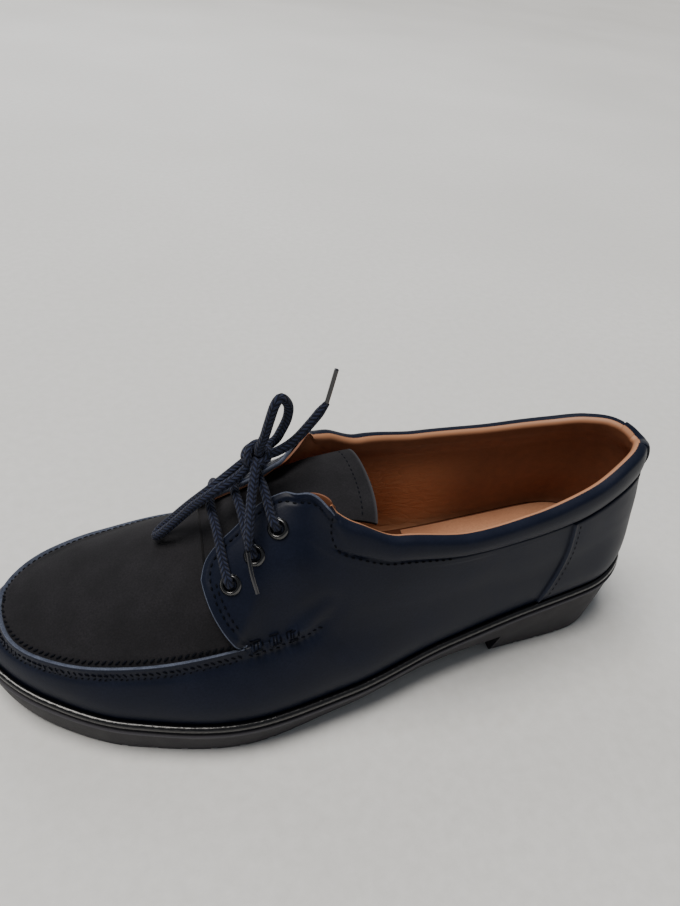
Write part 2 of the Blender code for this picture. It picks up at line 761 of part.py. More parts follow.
def groove_cutter():
    """Grooves across the tread of the forefoot and the heel, as one tool."""
    places = [TREAD_FRONT * SHOE_LENGTH + TREAD_PITCH * k for k in range(TREAD_GROOVES_FRONT)]
    places += [TREAD_HEEL * SHOE_LENGTH + TREAD_PITCH * k for k in range(TREAD_GROOVES_HEEL)]
    points = []
    faces = []
    for x in places:
        start = len(points)
        low, high = x - TREAD_GROOVE / 2, x + TREAD_GROOVE / 2
        for y in (-BALL_WIDTH, BALL_WIDTH):
            points += [(low, y, -CUTTER_REACH), (high, y, -CUTTER_REACH),
                       (high, y, TREAD_DEPTH), (low, y, TREAD_DEPTH)]
        faces += [[start + v for v in face] for face in
                  ((0, 1, 2, 3), (7, 6, 5, 4), (0, 4, 5, 1), (1, 5, 6, 2), (2, 6, 7, 3), (3, 7, 4, 0))]
    return add_cutter("groove_cutter", closed_mesh("groove_cutter", points, faces))


def make_outsole(finish):
    """The moulded sole unit: rim, side, arch, heel block and tread."""
    layers = sole_layers()
    mesh = layered_solid("outsole", layers, across_pairs(len(layers[0])))
    item = add_object("outsole", mesh, finish)
    cut(item, waist_cutter())
    cut(item, groove_cutter())
    return item


def make_welt(finish):
    """The glossy bead that closes the join of upper and sole."""
    inner = FEATHER_INSET - SKIN_GAP
    outer = inner - WELT_WIDTH
    section = (
        (outer, DECK_DROP - SEAT_GAP),
        (outer - 0.0001, DECK_DROP - WELT_WIDTH),
        (outer + 0.0005, -WELT_RISE * 0.6),
        (outer + 0.0012, -WELT_RISE),
        (inner, -WELT_RISE * 0.3),
        (inner, DECK_DROP - SEAT_GAP),
    )
    ring = loop_tracks(SOLE_STATIONS)
    sections = [[side_point(t, side, inset, drop) for inset, drop in section] for t, side in ring]
    return add_object("welt", ring_solid("welt", sections), finish)


def pad_layers(inset, bottom, top, first_track):
    """Loops of a flat pad that follows the deck, from first_track to the heel."""
    tracks = np.linspace(first_track, 1, PAD_STATIONS)
    last = 0 if first_track == 0 else -PAD_STATIONS - 1
    ring = [(t, -1) for t in tracks] + [(t, 1) for t in tracks[-2:last:-1]]
    layers = []
    for height, extra in ((bottom, 0.0), (top - 0.0004, 0.0), (top, 0.0005)):
        layer = []
        for t, side in ring:
            x, y = outline(t, side, inset + extra)
            layer.append((x, y, float(deck_height(x)) + height))
        layers.append(layer)
    return layers


def make_insole(finish):
    """The insole, inside the foot of the upper."""
    inset = FEATHER_INSET + UPPER_WALL + SKIN_GAP + 0.0002
    bottom = SEAT_GAP
    layers = pad_layers(inset, bottom, bottom + INSOLE_THICKNESS, 0.0)
    mesh = layered_solid("insole", layers, across_pairs(len(layers[0])))
    return add_object("insole", mesh, finish)


def make_heel_pad(finish):
    """The smooth sock that lies on the back of the insole."""
    inset = FEATHER_INSET + UPPER_WALL + SKIN_GAP + 0.0022
    bottom = 2 * SEAT_GAP + INSOLE_THICKNESS
    layers = pad_layers(inset, bottom, bottom + HEEL_PAD_THICKNESS, 0.60)
    size = len(layers[0])
    pairs = [(k, size - 1 - k) for k in range((size + 1) // 2)]
    return add_object("heel_pad", layered_solid("heel_pad", layers, pairs), finish)


def make_upper(finish, shell, normals):
    """The upper as one hollow solid, open underneath and at throat and collar."""
    vamp_rows = list(range(TOP_ROW + len(CROWN_SHARES) + 1))
    inner_vamp = list(INNER_ROWS) + vamp_rows[TOP_ROW + 1:]
    base = np.array(shell.points)
    outer = base + normals * np.array(shell.reliefs)[:, None]
    inner = base - normals * np.array(shell.depths)[:, None]
    for index in shell.foot():
        outer[index][2] = base[index][2]
        inner[index][2] = base[index][2]
    opening = shell.opening()
    count = len(base)
    crest = []
    for index, collar in opening:
        middle_point = (outer[index] + inner[index]) / 2
        crest.append(middle_point + np.array([0, 0, COLLAR_CREST * collar]))
    points = list(outer) + list(inner) + crest
    faces = shell.faces(vamp_rows[:TOP_ROW + 1], vamp_rows)
    faces += [[count + v for v in reversed(face)]
              for face in shell.faces(list(INNER_ROWS), inner_vamp)]
    foot = shell.foot()
    for a, b in zip(foot, foot[1:] + foot[:1]):
        faces.append([a, b, count + b, count + a])
    size = len(opening)
    for k in range(size):
        after = (k + 1) % size
        a, b = opening[k][0], opening[after][0]
        faces.append([a, b, 2 * count + after, 2 * count + k])
        faces.append([2 * count + k, 2 * count + after, count + b, count + a])
    used = sorted({v for face in faces for v in face})
    order = {v: k for k, v in enumerate(used)}
    mesh = closed_mesh("upper", [points[v] for v in used],
                       [[order[v] for v in face] for face in faces])
    return add_object("upper", mesh, finish)


def facing_relief(track, share):
    """How far a facing stands off the apron surface at a share of its rib."""
    full_at = float(QUARTER["rise"](track))
    return FACING_LIFT * float(QUARTER["on_crown"](track) * smoothstep(0.0, full_at, share))


def surface_normal(point_at, track, share, side):
    """Outward direction of a surface given by track and share."""
    small_track, small_share = 1.5e-3, 1.5e-2
    along_track = point_at(track + small_track, share) - point_at(track - small_track, share)
    along_share = point_at(track, share + small_share) - point_at(track, share - small_share)
    normal = np.cross(along_track, along_share) * -side
    return normal / np.linalg.norm(normal)


def facing_surface(track, share, side):
    """Point and outward direction on the raised outer face of a facing."""
    def base(t, s):
        return upper_point(quarter_frame(t, side), side, s)

    def raised(t, s):
        return base(t, s) + surface_normal(base, t, s, side) * facing_relief(t, s)
    return raised(track, share), surface_normal(raised, track, share, side)


def frame_at(point, normal):
    """Matrix that stands a shape on a point, its Z along the normal."""
    turn = Vector((0, 0, 1)).rotation_difference(Vector(normal)).to_matrix().to_4x4()
    return Matrix.Translation(Vector(point)) @ turn


def eyelet_places():
    """Name, track, share and side of every eyelet."""
    result = []
    for side, word in ((-1, "lateral"), (1, "medial")):
        for number, (track, share) in enumerate(EYELET_ROWS, 1):
            result.append((f"eyelet_{word}_{number}", track, share, side))
    return result


def make_eyelet_holes(upper):
    """Holes through the facings, one for each eyelet."""
    radius = EYELET_HOLE + EYELET_WALL + SKIN_GAP
    for name, track, share, side in eyelet_places():
        point, normal = facing_surface(track, share, side)
        work = bmesh.new()
        bmesh.ops.create_cone(work, cap_ends=True, segments=14, radius1=radius, radius2=radius,
                              depth=4 * FACING_THICKNESS)
        bmesh.ops.transform(work, matrix=frame_at(point, normal), verts=work.verts)
        mesh = bpy.data.meshes.new("hole_" + name)
        work.to_mesh(mesh)
        work.free()
        cut(upper, add_cutter("hole_" + name, mesh))


def make_eyelets(finish):
    """Eyelets: a flange that lies on the facing and a barrel through it."""
    rest = SKIN_GAP
    top = rest + EYELET_FLANGE_THICKNESS
    barrel = EYELET_HOLE + EYELET_WALL
    profile = (
        (EYELET_HOLE, -FACING_THICKNESS + 0.0003),
        (EYELET_HOLE, top - 0.0003),
        (EYELET_HOLE + 0.0006, top),
        (EYELET_FLANGE - 0.0003, top - 0.0001),
        (EYELET_FLANGE, rest),
        (barrel, rest),
        (barrel, -FACING_THICKNESS + 0.0003),
    )
    turns = 14
    for name, track, share, side in eyelet_places():
        point, normal = facing_surface(track, share, side)
        matrix = frame_at(point, normal)
        sections = []
        for k in range(turns):
            angle = 2 * math.pi * k / turns
            sections.append([matrix @ Vector((r * math.cos(angle), r * math.sin(angle), z))
                             for r, z in profile])
        add_object(name, ring_solid(name, sections), finish)


def make_tongue(finish):
    """The tongue, under the facings and out over the instep."""
    front = float(VAMP["turn_place"](LAP_TRACK)) * SHOE_LENGTH + TONGUE_SETBACK
    end = TONGUE_END * SHOE_LENGTH
    runs = np.linspace(0, 1, 13)
    shares = np.linspace(-1, 1, 11)
    grid = [[tongue_point(run, share, front, end) for share in shares] for run in runs]
    low = [[tongue_point(run, share, front, end, TONGUE_THICKNESS) for share in shares]
           for run in runs]
    rows, size = len(runs), len(shares)
    points = [p for row in grid for p in row] + [p for row in low for p in row]
    shift = rows * size
    faces = []
    for k in range(rows - 1):
        for j in range(size - 1):
            a = k * size + j
            faces.append([a, a + 1, a + size + 1, a + size])
            faces.append([shift + v for v in (a + size, a + size + 1, a + 1, a)])
    edge = [j for j in range(size)] + [k * size + size - 1 for k in range(1, rows)]
    edge += [(rows - 1) * size + j for j in range(size - 2, -1, -1)]
    edge += [k * size for k in range(rows - 2, 0, -1)]
    for a, b in zip(edge, edge[1:] + edge[:1]):
        faces.append([a, b, shift + b, shift + a])
    return add_object("tongue", closed_mesh("tongue", points, faces), finish)


def tongue_point(run, share, front, end, depth=0.0):
    """A point of the tongue at a run along it and a share across it."""
    half = float(TONGUE["half_width"](run)) * HALF * abs(share)
    side = 1.0 if share >= 0 else -1.0
    x = front + (end - TONGUE_END_CURVE * share * share - front) * run
    small = 5e-4

    def at(u, v):
        towards = side if v >= 0 else -side
        return place(u, abs(v), towards, float(instep_height(u, v)), -APRON_SHIFT)
    point = at(x, half)
    normal = np.cross(at(x + small, half) - at(x - small, half),
                      at(x, half + small) - at(x, half - small)) * side
    normal /= np.linalg.norm(normal)
    return point - normal * depth


def smooth_path(points, spacing):
    """Even points on one smooth curve through the route's own points."""
    knots = np.array(points, float)
    lengths = np.concatenate(([0], np.cumsum(np.linalg.norm(np.diff(knots, axis=0), axis=1))))
    padded = np.vstack((2 * knots[0] - knots[1], knots, 2 * knots[-1] - knots[-2]))
    fine = []
    for k in range(len(knots) - 1):
        a, b, c, d = padded[k:k + 4]
        for s in np.linspace(0, 1, 16, endpoint=False):
            fine.append(0.5 * ((2 * b) + (c - a) * s + (2 * a - 5 * b + 4 * c - d) * s ** 2
                               + (3 * b - a - 3 * c + d) * s ** 3))
    fine.append(knots[-1])
    fine = np.array(fine)
    travel = np.concatenate(([0], np.cumsum(np.linalg.norm(np.diff(fine, axis=0), axis=1))))
    count = max(3, int(round(lengths[-1] / spacing)) + 1)
    steps = np.linspace(0, travel[-1], count)
    return np.column_stack([np.interp(steps, travel, fine[:, axis]) for axis in range(3)])


def make_tube(name, points, diameter, finish, spacing_share=2.0):
    """A round cord or tag along a smooth route, with closed ends."""
    path = smooth_path(points, diameter * spacing_share)
    curve = bpy.data.curves.new(name, "CURVE")
    curve.dimensions = "3D"
    curve.bevel_depth = diameter / 2
    curve.bevel_resolution = 2
    curve.render_resolution_u = 0
    curve.use_fill_caps = True
    spline = curve.splines.new("POLY")
    spline.points.add(len(path) - 1)
    for spline_point, position in zip(spline.points, path):
        spline_point.co = (*position, 1.0)
    curve.materials.append(finish)
    item = bpy.data.objects.new(name, curve)
    bpy.context.scene.collection.objects.link(item)
    return item


def lace_bar_route(number):
    """Route of one bar of the lace, from eyelet to eyelet over the throat."""
    track, share = EYELET_ROWS[number]
    bridge_share, bridge_rise = BAR_BRIDGES[number]
    bridge_x = bridge_share * SHOE_LENGTH
    bridge_z = float(instep_height(bridge_x, 0.0)) + bridge_rise
    lift = SKIN_GAP + EYELET_FLANGE_THICKNESS + SEAT_GAP + LACE_DIAMETER / 2
    bridge = np.array([bridge_x, 0.0, bridge_z])
    ends = []
    for side in (-1, 1):
        point, normal = facing_surface(track, share, side)
        start = point + normal * (lift + BAR_START_GAP)
        leave = start + normal * BAR_LEAVE + (bridge - start) * 0.22
        ends.append((start, leave, (leave + bridge) / 2 + np.array([0, 0, BAR_CROWN])))
    near, far = ends
    return [near[0], near[1], near[2], bridge, far[2], far[1], far[0]]


# Routes of the bow: places in metres that the lace was given by hand
KNOT_CENTRE = (-0.0312, 0.0012, 0.0970)
KNOT_RADII = (0.0054, 0.0048, 0.0043)
LOOP_FRONT_ROUTE = (
    (-0.0350, 0.0030, 0.0926), (-0.0390, 0.0024, 0.0893), (-0.0431, 0.0010, 0.0867),
    (-0.0471, 0.0004, 0.0834), (-0.0530, 0.0030, 0.0755), (-0.0588, 0.0064, 0.0663),
    (-0.0631, 0.0076, 0.0606), (-0.0650, 0.0056, 0.0590), (-0.0623, 0.0030, 0.0635),
    (-0.0569, 0.0010, 0.0711), (-0.0523, -0.0012, 0.0782), (-0.0468, -0.0034, 0.0850),
    (-0.0429, -0.0032, 0.0878), (-0.0389, -0.0020, 0.0896), (-0.0362, -0.0010, 0.0914),
)
LOOP_UP_ROUTE = (
    (-0.0306, -0.0004, 0.1016), (-0.0294, -0.0010, 0.1057), (-0.0281, -0.0012, 0.1121),
    (-0.0266, -0.0010, 0.1180), (-0.0246, 0.0, 0.1198), (-0.0220, 0.0012, 0.1162),
    (-0.0217, 0.0022, 0.1108), (-0.0231, 0.0034, 0.1047), (-0.0250, 0.0044, 0.0997),
)
END_UP_ROUTE = (
    (-0.0252, 0.0003, 0.0982), (-0.0195, 0.0, 0.1026), (-0.0145, 0.0, 0.1094),
    (-0.0098, 0.0, 0.1171),
)
AGLET_UP_ROUTE = ((-0.0096, 0.0, 0.1177), (-0.0080, 0.0, 0.1295))
END_DOWN_ROUTE = (
    (-0.0324, -0.0040, 0.0954), (-0.0342, -0.0105, 0.0908), (-0.0354, -0.0158, 0.0876),
    (-0.0364, -0.0208, 0.0836), (-0.0370, -0.0246, 0.0795),
)
AGLET_DOWN_ROUTE = ((-0.0371, -0.0252, 0.0785), (-0.0362, -0.0286, 0.0728),
                    (-0.0346, -0.0314, 0.0666))


def make_knot(finish):
    """The knot of the bow, as one rounded solid."""
    work = bmesh.new()
    bmesh.ops.create_icosphere(work, subdivisions=2, radius=1.0)
    bmesh.ops.transform(work, matrix=Matrix.Translation(Vector(KNOT_CENTRE))
                        @ Matrix.Diagonal((*KNOT_RADII, 1.0)), verts=work.verts)
    mesh = bpy.data.meshes.new("lace_knot")
    work.to_mesh(mesh)
    work.free()
    return add_object("lace_knot", mesh, finish, 80.0)


def make_laces(lace, tag):
    """Three bars over the throat, the knot, two loops and two tagged ends."""
    for number in range(len(EYELET_ROWS)):
        make_tube(f"lace_bar_{number + 1}", lace_bar_route(number), LACE_DIAMETER, lace)
    make_knot(lace)
    make_tube("lace_loop_front", LOOP_FRONT_ROUTE, LACE_DIAMETER, lace)
    make_tube("lace_loop_up", LOOP_UP_ROUTE, LACE_DIAMETER, lace)
    make_tube("lace_end_1", END_UP_ROUTE, LACE_DIAMETER, lace)
    make_tube("lace_end_2", END_DOWN_ROUTE, LACE_DIAMETER, lace)
    make_tube("aglet_1", AGLET_UP_ROUTE, AGLET_DIAMETER, tag)
    make_tube("aglet_2", AGLET_DOWN_ROUTE, AGLET_DIAMETER, tag)


def clear_scene():
    """Remove the objects that the scene starts with."""
    for item in list(bpy.data.objects):
        bpy.data.objects.remove(item)


def main():
    """Build every sub-part of the shoe."""
    clear_scene()
    navy = material("navy_leather", (0.011, 0.016, 0.033), 0.45)
    rubber = material("black_rubber", (0.025, 0.024, 0.028), 0.6)
    shell = base_shell()
    rows = list(range(TOP_ROW + len(CROWN_SHARES) + 1))
    normals = shell.normals(shell.faces(rows[:TOP_ROW + 1], rows))
    make_outsole(rubber)
    make_welt(material("welt_gloss", (0.012, 0.012, 0.014), 0.3))
    upper = make_upper(navy, shell, normals)
    make_eyelet_holes(upper)
    make_tongue(material("black_nubuck", (0.02, 0.02, 0.021), 0.85))
    make_insole(material("tan_insole", (0.25, 0.09, 0.035), 0.6))
    make_heel_pad(material("tan_sock", (0.28, 0.1, 0.04), 0.5))
    make_eyelets(material("black_enamel", (0.008, 0.008, 0.009), 0.2, 0.6))
    make_laces(material("navy_lace", (0.012, 0.016, 0.04), 0.8),
               material("clear_tag", (0.05, 0.05, 0.06), 0.2))


main()
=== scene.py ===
"""The looks of a low lace-up leather shoe with a moccasin toe, for the left foot.

X runs from the toe to the heel, +Y is the inner (medial) side and +Z is up, in
metres. The upper is sewn from a navy vamp and quarters, a nubuck apron and
tongue, a padded collar and a tan lining, and stands on a moulded rubber sole.
"""

import logging
import math
from dataclasses import dataclass, field
from enum import Enum
from functools import cached_property
from typing import Callable, Sequence

import bmesh
import bpy
import numpy as np
from mathutils import Matrix, Vector
from mathutils.bvhtree import BVHTree

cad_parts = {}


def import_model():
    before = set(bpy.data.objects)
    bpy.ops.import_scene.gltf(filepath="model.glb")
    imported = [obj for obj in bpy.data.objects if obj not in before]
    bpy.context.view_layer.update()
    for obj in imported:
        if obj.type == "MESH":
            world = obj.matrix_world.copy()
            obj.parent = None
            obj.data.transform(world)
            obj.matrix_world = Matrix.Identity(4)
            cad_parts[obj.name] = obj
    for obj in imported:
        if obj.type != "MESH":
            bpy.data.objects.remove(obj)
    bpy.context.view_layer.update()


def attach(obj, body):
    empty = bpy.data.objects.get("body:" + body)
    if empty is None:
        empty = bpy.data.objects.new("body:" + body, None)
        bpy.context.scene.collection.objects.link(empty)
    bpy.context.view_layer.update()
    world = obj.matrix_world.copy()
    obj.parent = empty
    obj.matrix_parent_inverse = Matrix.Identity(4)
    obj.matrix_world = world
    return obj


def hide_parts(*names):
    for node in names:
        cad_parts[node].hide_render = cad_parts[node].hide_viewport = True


LOG = logging.getLogger("shoe")
Array = np.ndarray
# Pixels along the photograph's long side, and the camera's film width in mm
PHOTO_LONG_SIDE = 906
FILM_WIDTH = 36.0
# Signs of Y on the two sides of the shoe, with their names
OUTER, INNER = -1, 1
SIDES = ((OUTER, "lateral"), (INNER, "medial"))
# Points nearer than this are one point
MERGE = 2e-6
# Lift of a thread off the leather
LIFT = 0.0001


# Small helpers
def interpolate(xs: Sequence[float], ys: Sequence[float]) -> Callable[[Array], Array]:
    """A smooth curve through points that never overshoots them.

    Args:
        xs: Rising places of the points.
        ys: Values at those places.

    Returns:
        A function that gives the value at one place or at an array of places.
    """
    xs = np.asarray(xs, float)
    ys = np.asarray(ys, float)
    step = np.diff(xs)
    slope = np.diff(ys) / step
    tangent = np.zeros(len(xs))
    for k in range(1, len(xs) - 1):
        if slope[k - 1] * slope[k] > 0:
            before = 2 * step[k] + step[k - 1]
            after = step[k] + 2 * step[k - 1]
            tangent[k] = (before + after) / (before / slope[k - 1] + after / slope[k])
    tangent[0] = end_slope(step[0], step[1], slope[0], slope[1])
    tangent[-1] = end_slope(step[-1], step[-2], slope[-1], slope[-2])

    def value(x: Array) -> Array:
        """Value of the curve at x."""
        x = np.clip(np.asarray(x, float), xs[0], xs[-1])
        k = np.clip(np.searchsorted(xs, x) - 1, 0, len(xs) - 2)
        h = step[k]
        s = (x - xs[k]) / h
        return ((1 + 2 * s) * (1 - s) ** 2 * ys[k] + s * (1 - s) ** 2 * h * tangent[k]
                + s * s * (3 - 2 * s) * ys[k + 1] + s * s * (s - 1) * h * tangent[k + 1])
    return value


def end_slope(near: float, far: float, slope_near: float, slope_far: float) -> float:
    """Slope at the end of a curve.

    Args:
        near: Width of the end stretch.
        far: Width of the stretch beside it.
        slope_near: Slope of the end stretch.
        slope_far: Slope of the stretch beside it.

    Returns:
        The slope that keeps the end from overshooting.
    """
    slope = ((2 * near + far) * slope_near - near * slope_far) / (near + far)
    if slope * slope_near <= 0:
        return 0.0
    if slope_near * slope_far < 0 and abs(slope) > 3 * abs(slope_near):
        return 3 * slope_near
    return slope


def smoothstep(low: float, high: float, x: Array) -> Array:
    """0 below low, 1 above high and a soft rise between them."""
    s = np.clip((np.asarray(x, float) - low) / (high - low), 0, 1)
    return s * s * (3 - 2 * s)


def bell(x: Array, width: float) -> Array:
    """A soft bump of height 1 at x = 0."""
    return np.exp(-(np.asarray(x, float) / width) ** 2)


def hermite(start: Array, end: Array, leave: Array, arrive: Array, s: Array) -> Array:
    """Points on a cubic.

    Args:
        start: First point.
        end: Last point.
        leave: Tangent at the first point.
        arrive: Tangent at the last point.
        s: Shares of the way, as a column.

    Returns:
        One row of coordinates for each share.
    """
    return (start * (1 + 2 * s) * (1 - s) ** 2 + leave * s * (1 - s) ** 2
            + end * s * s * (3 - 2 * s) + arrive * s * s * (s - 1))


def unit(v: Array) -> Array:
    """Vectors of length one, along the last axis."""
    return v / np.maximum(np.linalg.norm(v, axis=-1, keepdims=True), 1e-12)


def arc_length(points: Array) -> Array:
    """Distance travelled at each point of a path."""
    return np.concatenate(([0.0], np.cumsum(np.linalg.norm(np.diff(points, axis=0), axis=1))))


def resample(points: Array, spacing: float, offset: float = 0.5) -> Array:
    """Even points along a path.

    Args:
        points: The path, one row a point.
        spacing: Distance between the new points.
        offset: Share of the spacing before the first one.

    Returns:
        The new points.
    """
    travel = arc_length(points)
    steps = np.arange(offset * spacing, travel[-1], spacing)
    return np.column_stack([np.interp(steps, travel, points[:, k]) for k in range(3)])


def smooth_route(points: Sequence[Sequence[float]], spacing: float) -> Array:
    """Even points on one smooth curve through a route.

    Args:
        points: The route's own points.
        spacing: Distance between the new points.

    Returns:
        The points of the curve, both ends kept.
    """
    knots = np.array(points, float)
    padded = np.vstack((2 * knots[0] - knots[1], knots, 2 * knots[-1] - knots[-2]))
    fine = []
    for k in range(len(knots) - 1):
        a, b, c, d = padded[k:k + 4]
        for s in np.linspace(0, 1, 24, endpoint=False):
            fine.append(0.5 * ((2 * b) + (c - a) * s + (2 * a - 5 * b + 4 * c - d) * s ** 2
                               + (3 * b - a - 3 * c + d) * s ** 3))
    fine.append(knots[-1])
    fine = np.array(fine)
    travel = arc_length(fine)
    steps = np.linspace(0, travel[-1], max(3, int(round(travel[-1] / spacing)) + 1))
    return np.column_stack([np.interp(steps, travel, fine[:, k]) for k in range(3)])


# The last
@dataclass(frozen=True)
class Last:
    """The form that the shoe is made on, with the joins of its pieces marked on it."""

    length: float = 0.262
    ball_width: float = 0.0954
    rim_at_ball: float = 0.015
    rim_at_heel: float = 0.0335
    toe_spring: float = 0.0066
    instep: float = 0.0835
    back: float = 0.083
    toe_seam: float = 0.035
    deck_drop: float = 0.0024
    feather_inset: float = 0.0029
    welt_rise: float = 0.0007
    lining_depth: float = 0.0022
    facing_lift: float = 0.0030
    facing_spring_height: float = 0.0054
    facing_thickness: float = 0.0024
    collar_thickness: float = 0.0045
    collar_bulge: float = 0.0015
    collar_crest: float = 0.0014
    counter_track: float = 0.7138
    counter_step: float = 0.0008
    seam_ridge: float = 0.0013
    apron_shift: float = 0.0006
    lap_track: float = 0.41
    apron_start: float = -0.4557
    apron_run: float = 0.3573
    bow_place: float = -0.0195
    bow_half: float = 0.108
    tables: dict[str, Callable[[Array], Array]] = field(default_factory=dict, repr=False)

    # Outline of the rim: track from the toe, 0, to the heel, 1
    OUTLINE = (("track", "half_width", "under_inset"), (
        (0.0, 0.0, 0.052), (0.1, 0.361, 0.052), (0.2, 0.669, 0.052), (0.3, 0.897, 0.052),
        (0.4, 1.0, 0.055), (0.5, 0.895, 0.11), (0.6, 0.734, 0.155), (0.68, 0.672, 0.09),
        (0.8, 0.612, 0.07), (0.9, 0.405, 0.08), (1.0, 0.0, 0.09)))
    # Middle line and heights: along from the toe, 0, to the heel, 1
    SPINE = (("along", "middle", "toe_lift", "heel_rise", "toe_lift_under"), (
        (0.0, 0.138, 0.83, 0.0, 1.0), (0.1, 0.075, 0.38, 0.0, 0.23), (0.2, 0.031, 0.12, 0.0, 0.0),
        (0.35, 0.004, 0.0, 0.0, 0.0), (0.5, 0.036, 0.0, 0.075, 0.0), (0.65, 0.108, 0.0, 0.33, 0.0),
        (0.8, 0.188, 0.0, 0.645, 0.0), (0.9, 0.236, 0.0, 0.84, 0.0), (1.0, 0.270, 0.0, 1.0, 0.0)))
    # Moccasin seam: sweep from the toe, 0, to where the facings cross it, 1. Half widths here and
    # below are shares of half the ball's width, and places are shares of the length
    APRON = (("sweep", "apron_half", "apron_height"), (
        (0.0, 0.0, 1.0), (0.2, 0.302, 0.923), (0.4, 0.512, 0.963), (0.6, 0.660, 1.031),
        (0.8, 0.730, 1.140), (1.0, 0.694, 1.280), (1.086, 0.681, 1.406), (1.22, 0.677, 1.486)))
    # Middle of the apron and the tongue: height as a share of the instep
    CROWN = (("place", "crown", "flatness"), (
        (-0.456, 0.419, 2.2), (-0.401, 0.479, 2.3), (-0.328, 0.563, 2.4), (-0.229, 0.701, 2.5),
        (-0.191, 0.784, 2.6), (-0.153, 0.874, 2.6), (-0.130, 0.916, 2.6), (-0.099, 0.964, 2.7),
        (-0.069, 0.988, 3.2), (-0.034, 1.0, 4.0), (0.031, 0.988, 5.5)))
    # Ribs of the toe, up to the lap of the facings
    VAMP = (("track", "sweep", "turn_place", "turn_half", "crown_place", "vamp_bow"), (
        (0.0, 0.0, -0.4512, 0.0, -0.4458, 0.0), (0.1, 0.25, -0.412, 0.19, -0.408, 0.0),
        (0.2, 0.47, -0.351, 0.315, -0.347, 0.0), (0.3, 0.69, -0.277, 0.39, -0.275, 0.1),
        (0.36, 0.82, -0.233, 0.405, -0.232, 0.45), (0.41, 0.93, -0.192, 0.409, -0.192, 1.0)))
    # Ribs of the quarters: middle of the side, top edge, and how the rib runs between them
    QUARTER = (("track", "mid_place", "mid_half", "mid_instep", "mid_back", "top_place", "top_half",
                "top_instep", "top_back", "bow", "spring", "rise", "on_crown", "collar"), (
        (0.410, -0.1469, 0.717, 0.515, 0.0, -0.1920, 0.409, 0.78, 0.0, 1.0, 0.0, 0.2, 1.0, 0.0),
        (0.418, -0.1393, 0.715, 0.522, 0.0, -0.1828, 0.298, 0.85, 0.0, 0.55, 0.0, 0.22, 1.0, 0.0),
        (0.430, -0.1279, 0.711, 0.528, 0.0, -0.1664, 0.237, 0.90, 0.0, 0.25, 0.0, 0.3, 1.0, 0.0),
        (0.445, -0.1145, 0.704, 0.535, 0.0, -0.1466, 0.197, 0.95, 0.0, 0.1, 0.05, 0.42, 1.0, 0.0),
        (0.460, -0.1011, 0.698, 0.544, 0.0, -0.1279, 0.155, 0.99, 0.0, 0.0, 0.2, 0.5, 1.0, 0.0),
        (0.478, -0.0840, 0.692, 0.554, 0.0, -0.1050, 0.128, 1.02, 0.0, 0.0, 0.48, 0.5, 1.0, 0.0),
        (0.494, -0.0687, 0.688, 0.565, 0.0, -0.0840, 0.145, 1.08, 0.0, 0.0, 0.85, 0.5, 1.0, 0.0),
        (0.508, -0.0515, 0.684, 0.578, 0.0, -0.0611, 0.252, 1.15, 0.0, 0.0, 1.0, 0.5, 0.45, 0.0),
        (0.522, -0.0344, 0.681, 0.589, 0.0, -0.0344, 0.407, 1.068, 0.0, 0.0, 1.0, 0.5, 0.0, 0.5),
        (0.545, 0.0038, 0.685, 0.599, 0.0, 0.0076, 0.482, 0.50, 0.492, 0.0, 0.0, 0.5, 0.0, 1.0),
        (0.565, 0.0477, 0.688, 0.30, 0.30, 0.0519, 0.518, 0.0, 0.937, 0.0, 0.0, 0.5, 0.0, 1.0),
        (0.612, 0.1527, 0.660, 0.0, 0.602, 0.1496, 0.551, 0.0, 0.898, 0.0, 0.0, 0.5, 0.0, 1.0),
        (0.672, 0.2595, 0.616, 0.0, 0.614, 0.2542, 0.499, 0.0, 0.910, 0.0, 0.0, 0.5, 0.0, 1.0),
        (0.715, 0.3321, 0.577, 0.0, 0.626, 0.3206, 0.440, 0.0, 0.940, 0.0, 0.0, 0.5, 0.0, 1.0),
        (0.765, 0.3760, 0.535, 0.0, 0.650, 0.3607, 0.386, 0.0, 0.965, 0.0, 0.0, 0.5, 0.0, 1.0),
        (0.840, 0.4351, 0.432, 0.0, 0.675, 0.4095, 0.277, 0.0, 1.012, 0.0, 0.0, 0.5, 0.0, 1.0),
        (0.910, 0.4750, 0.263, 0.0, 0.687, 0.4430, 0.160, 0.0, 1.030, 0.0, 0.0, 0.5, 0.0, 1.0),
        (1.0, 0.4962, 0.0, 0.0, 0.687, 0.4645, 0.0, 0.0, 1.0, 0.0, 0.0, 0.5, 0.0, 1.0)))
    # Half width along the tongue
    TONGUE = (("run", "tongue_half"), (
        (0.0, 0.365), (0.2, 0.435), (0.4, 0.425), (0.55, 0.350), (0.70, 0.345), (1.0, 0.420)))

    def __post_init__(self) -> None:
        """Turn each table into one smooth curve for each of its columns."""
        for columns, rows in (self.OUTLINE, self.SPINE, self.APRON, self.CROWN, self.VAMP,
                              self.QUARTER, self.TONGUE):
            table = np.array(rows, float)
            for k, name in enumerate(columns[1:], 1):
                self.tables[name] = interpolate(table[:, 0], table[:, k])

    @property
    def half(self) -> float:
        """Half of the ball's width."""
        return self.ball_width / 2

    def at(self, name: str, x: Array) -> Array:
        """Value of a table's column at x."""
        return self.tables[name](x)

    def along(self, x: Array) -> Array:
        """Share of the length from the toe."""
        return np.clip(np.asarray(x, float) / self.length + 0.5, 0, 1)

    def rim_half(self, track: Array) -> Array:
        """Half width of the rim, carried on past the toe and the heel."""
        track = np.asarray(track, float)
        sign = np.where((track < 0) | (track > 1), -1.0, 1.0)
        inside = np.where(track < 0, -track, np.where(track > 1, 2 - track, track))
        return sign * self.at("half_width", inside) * self.half

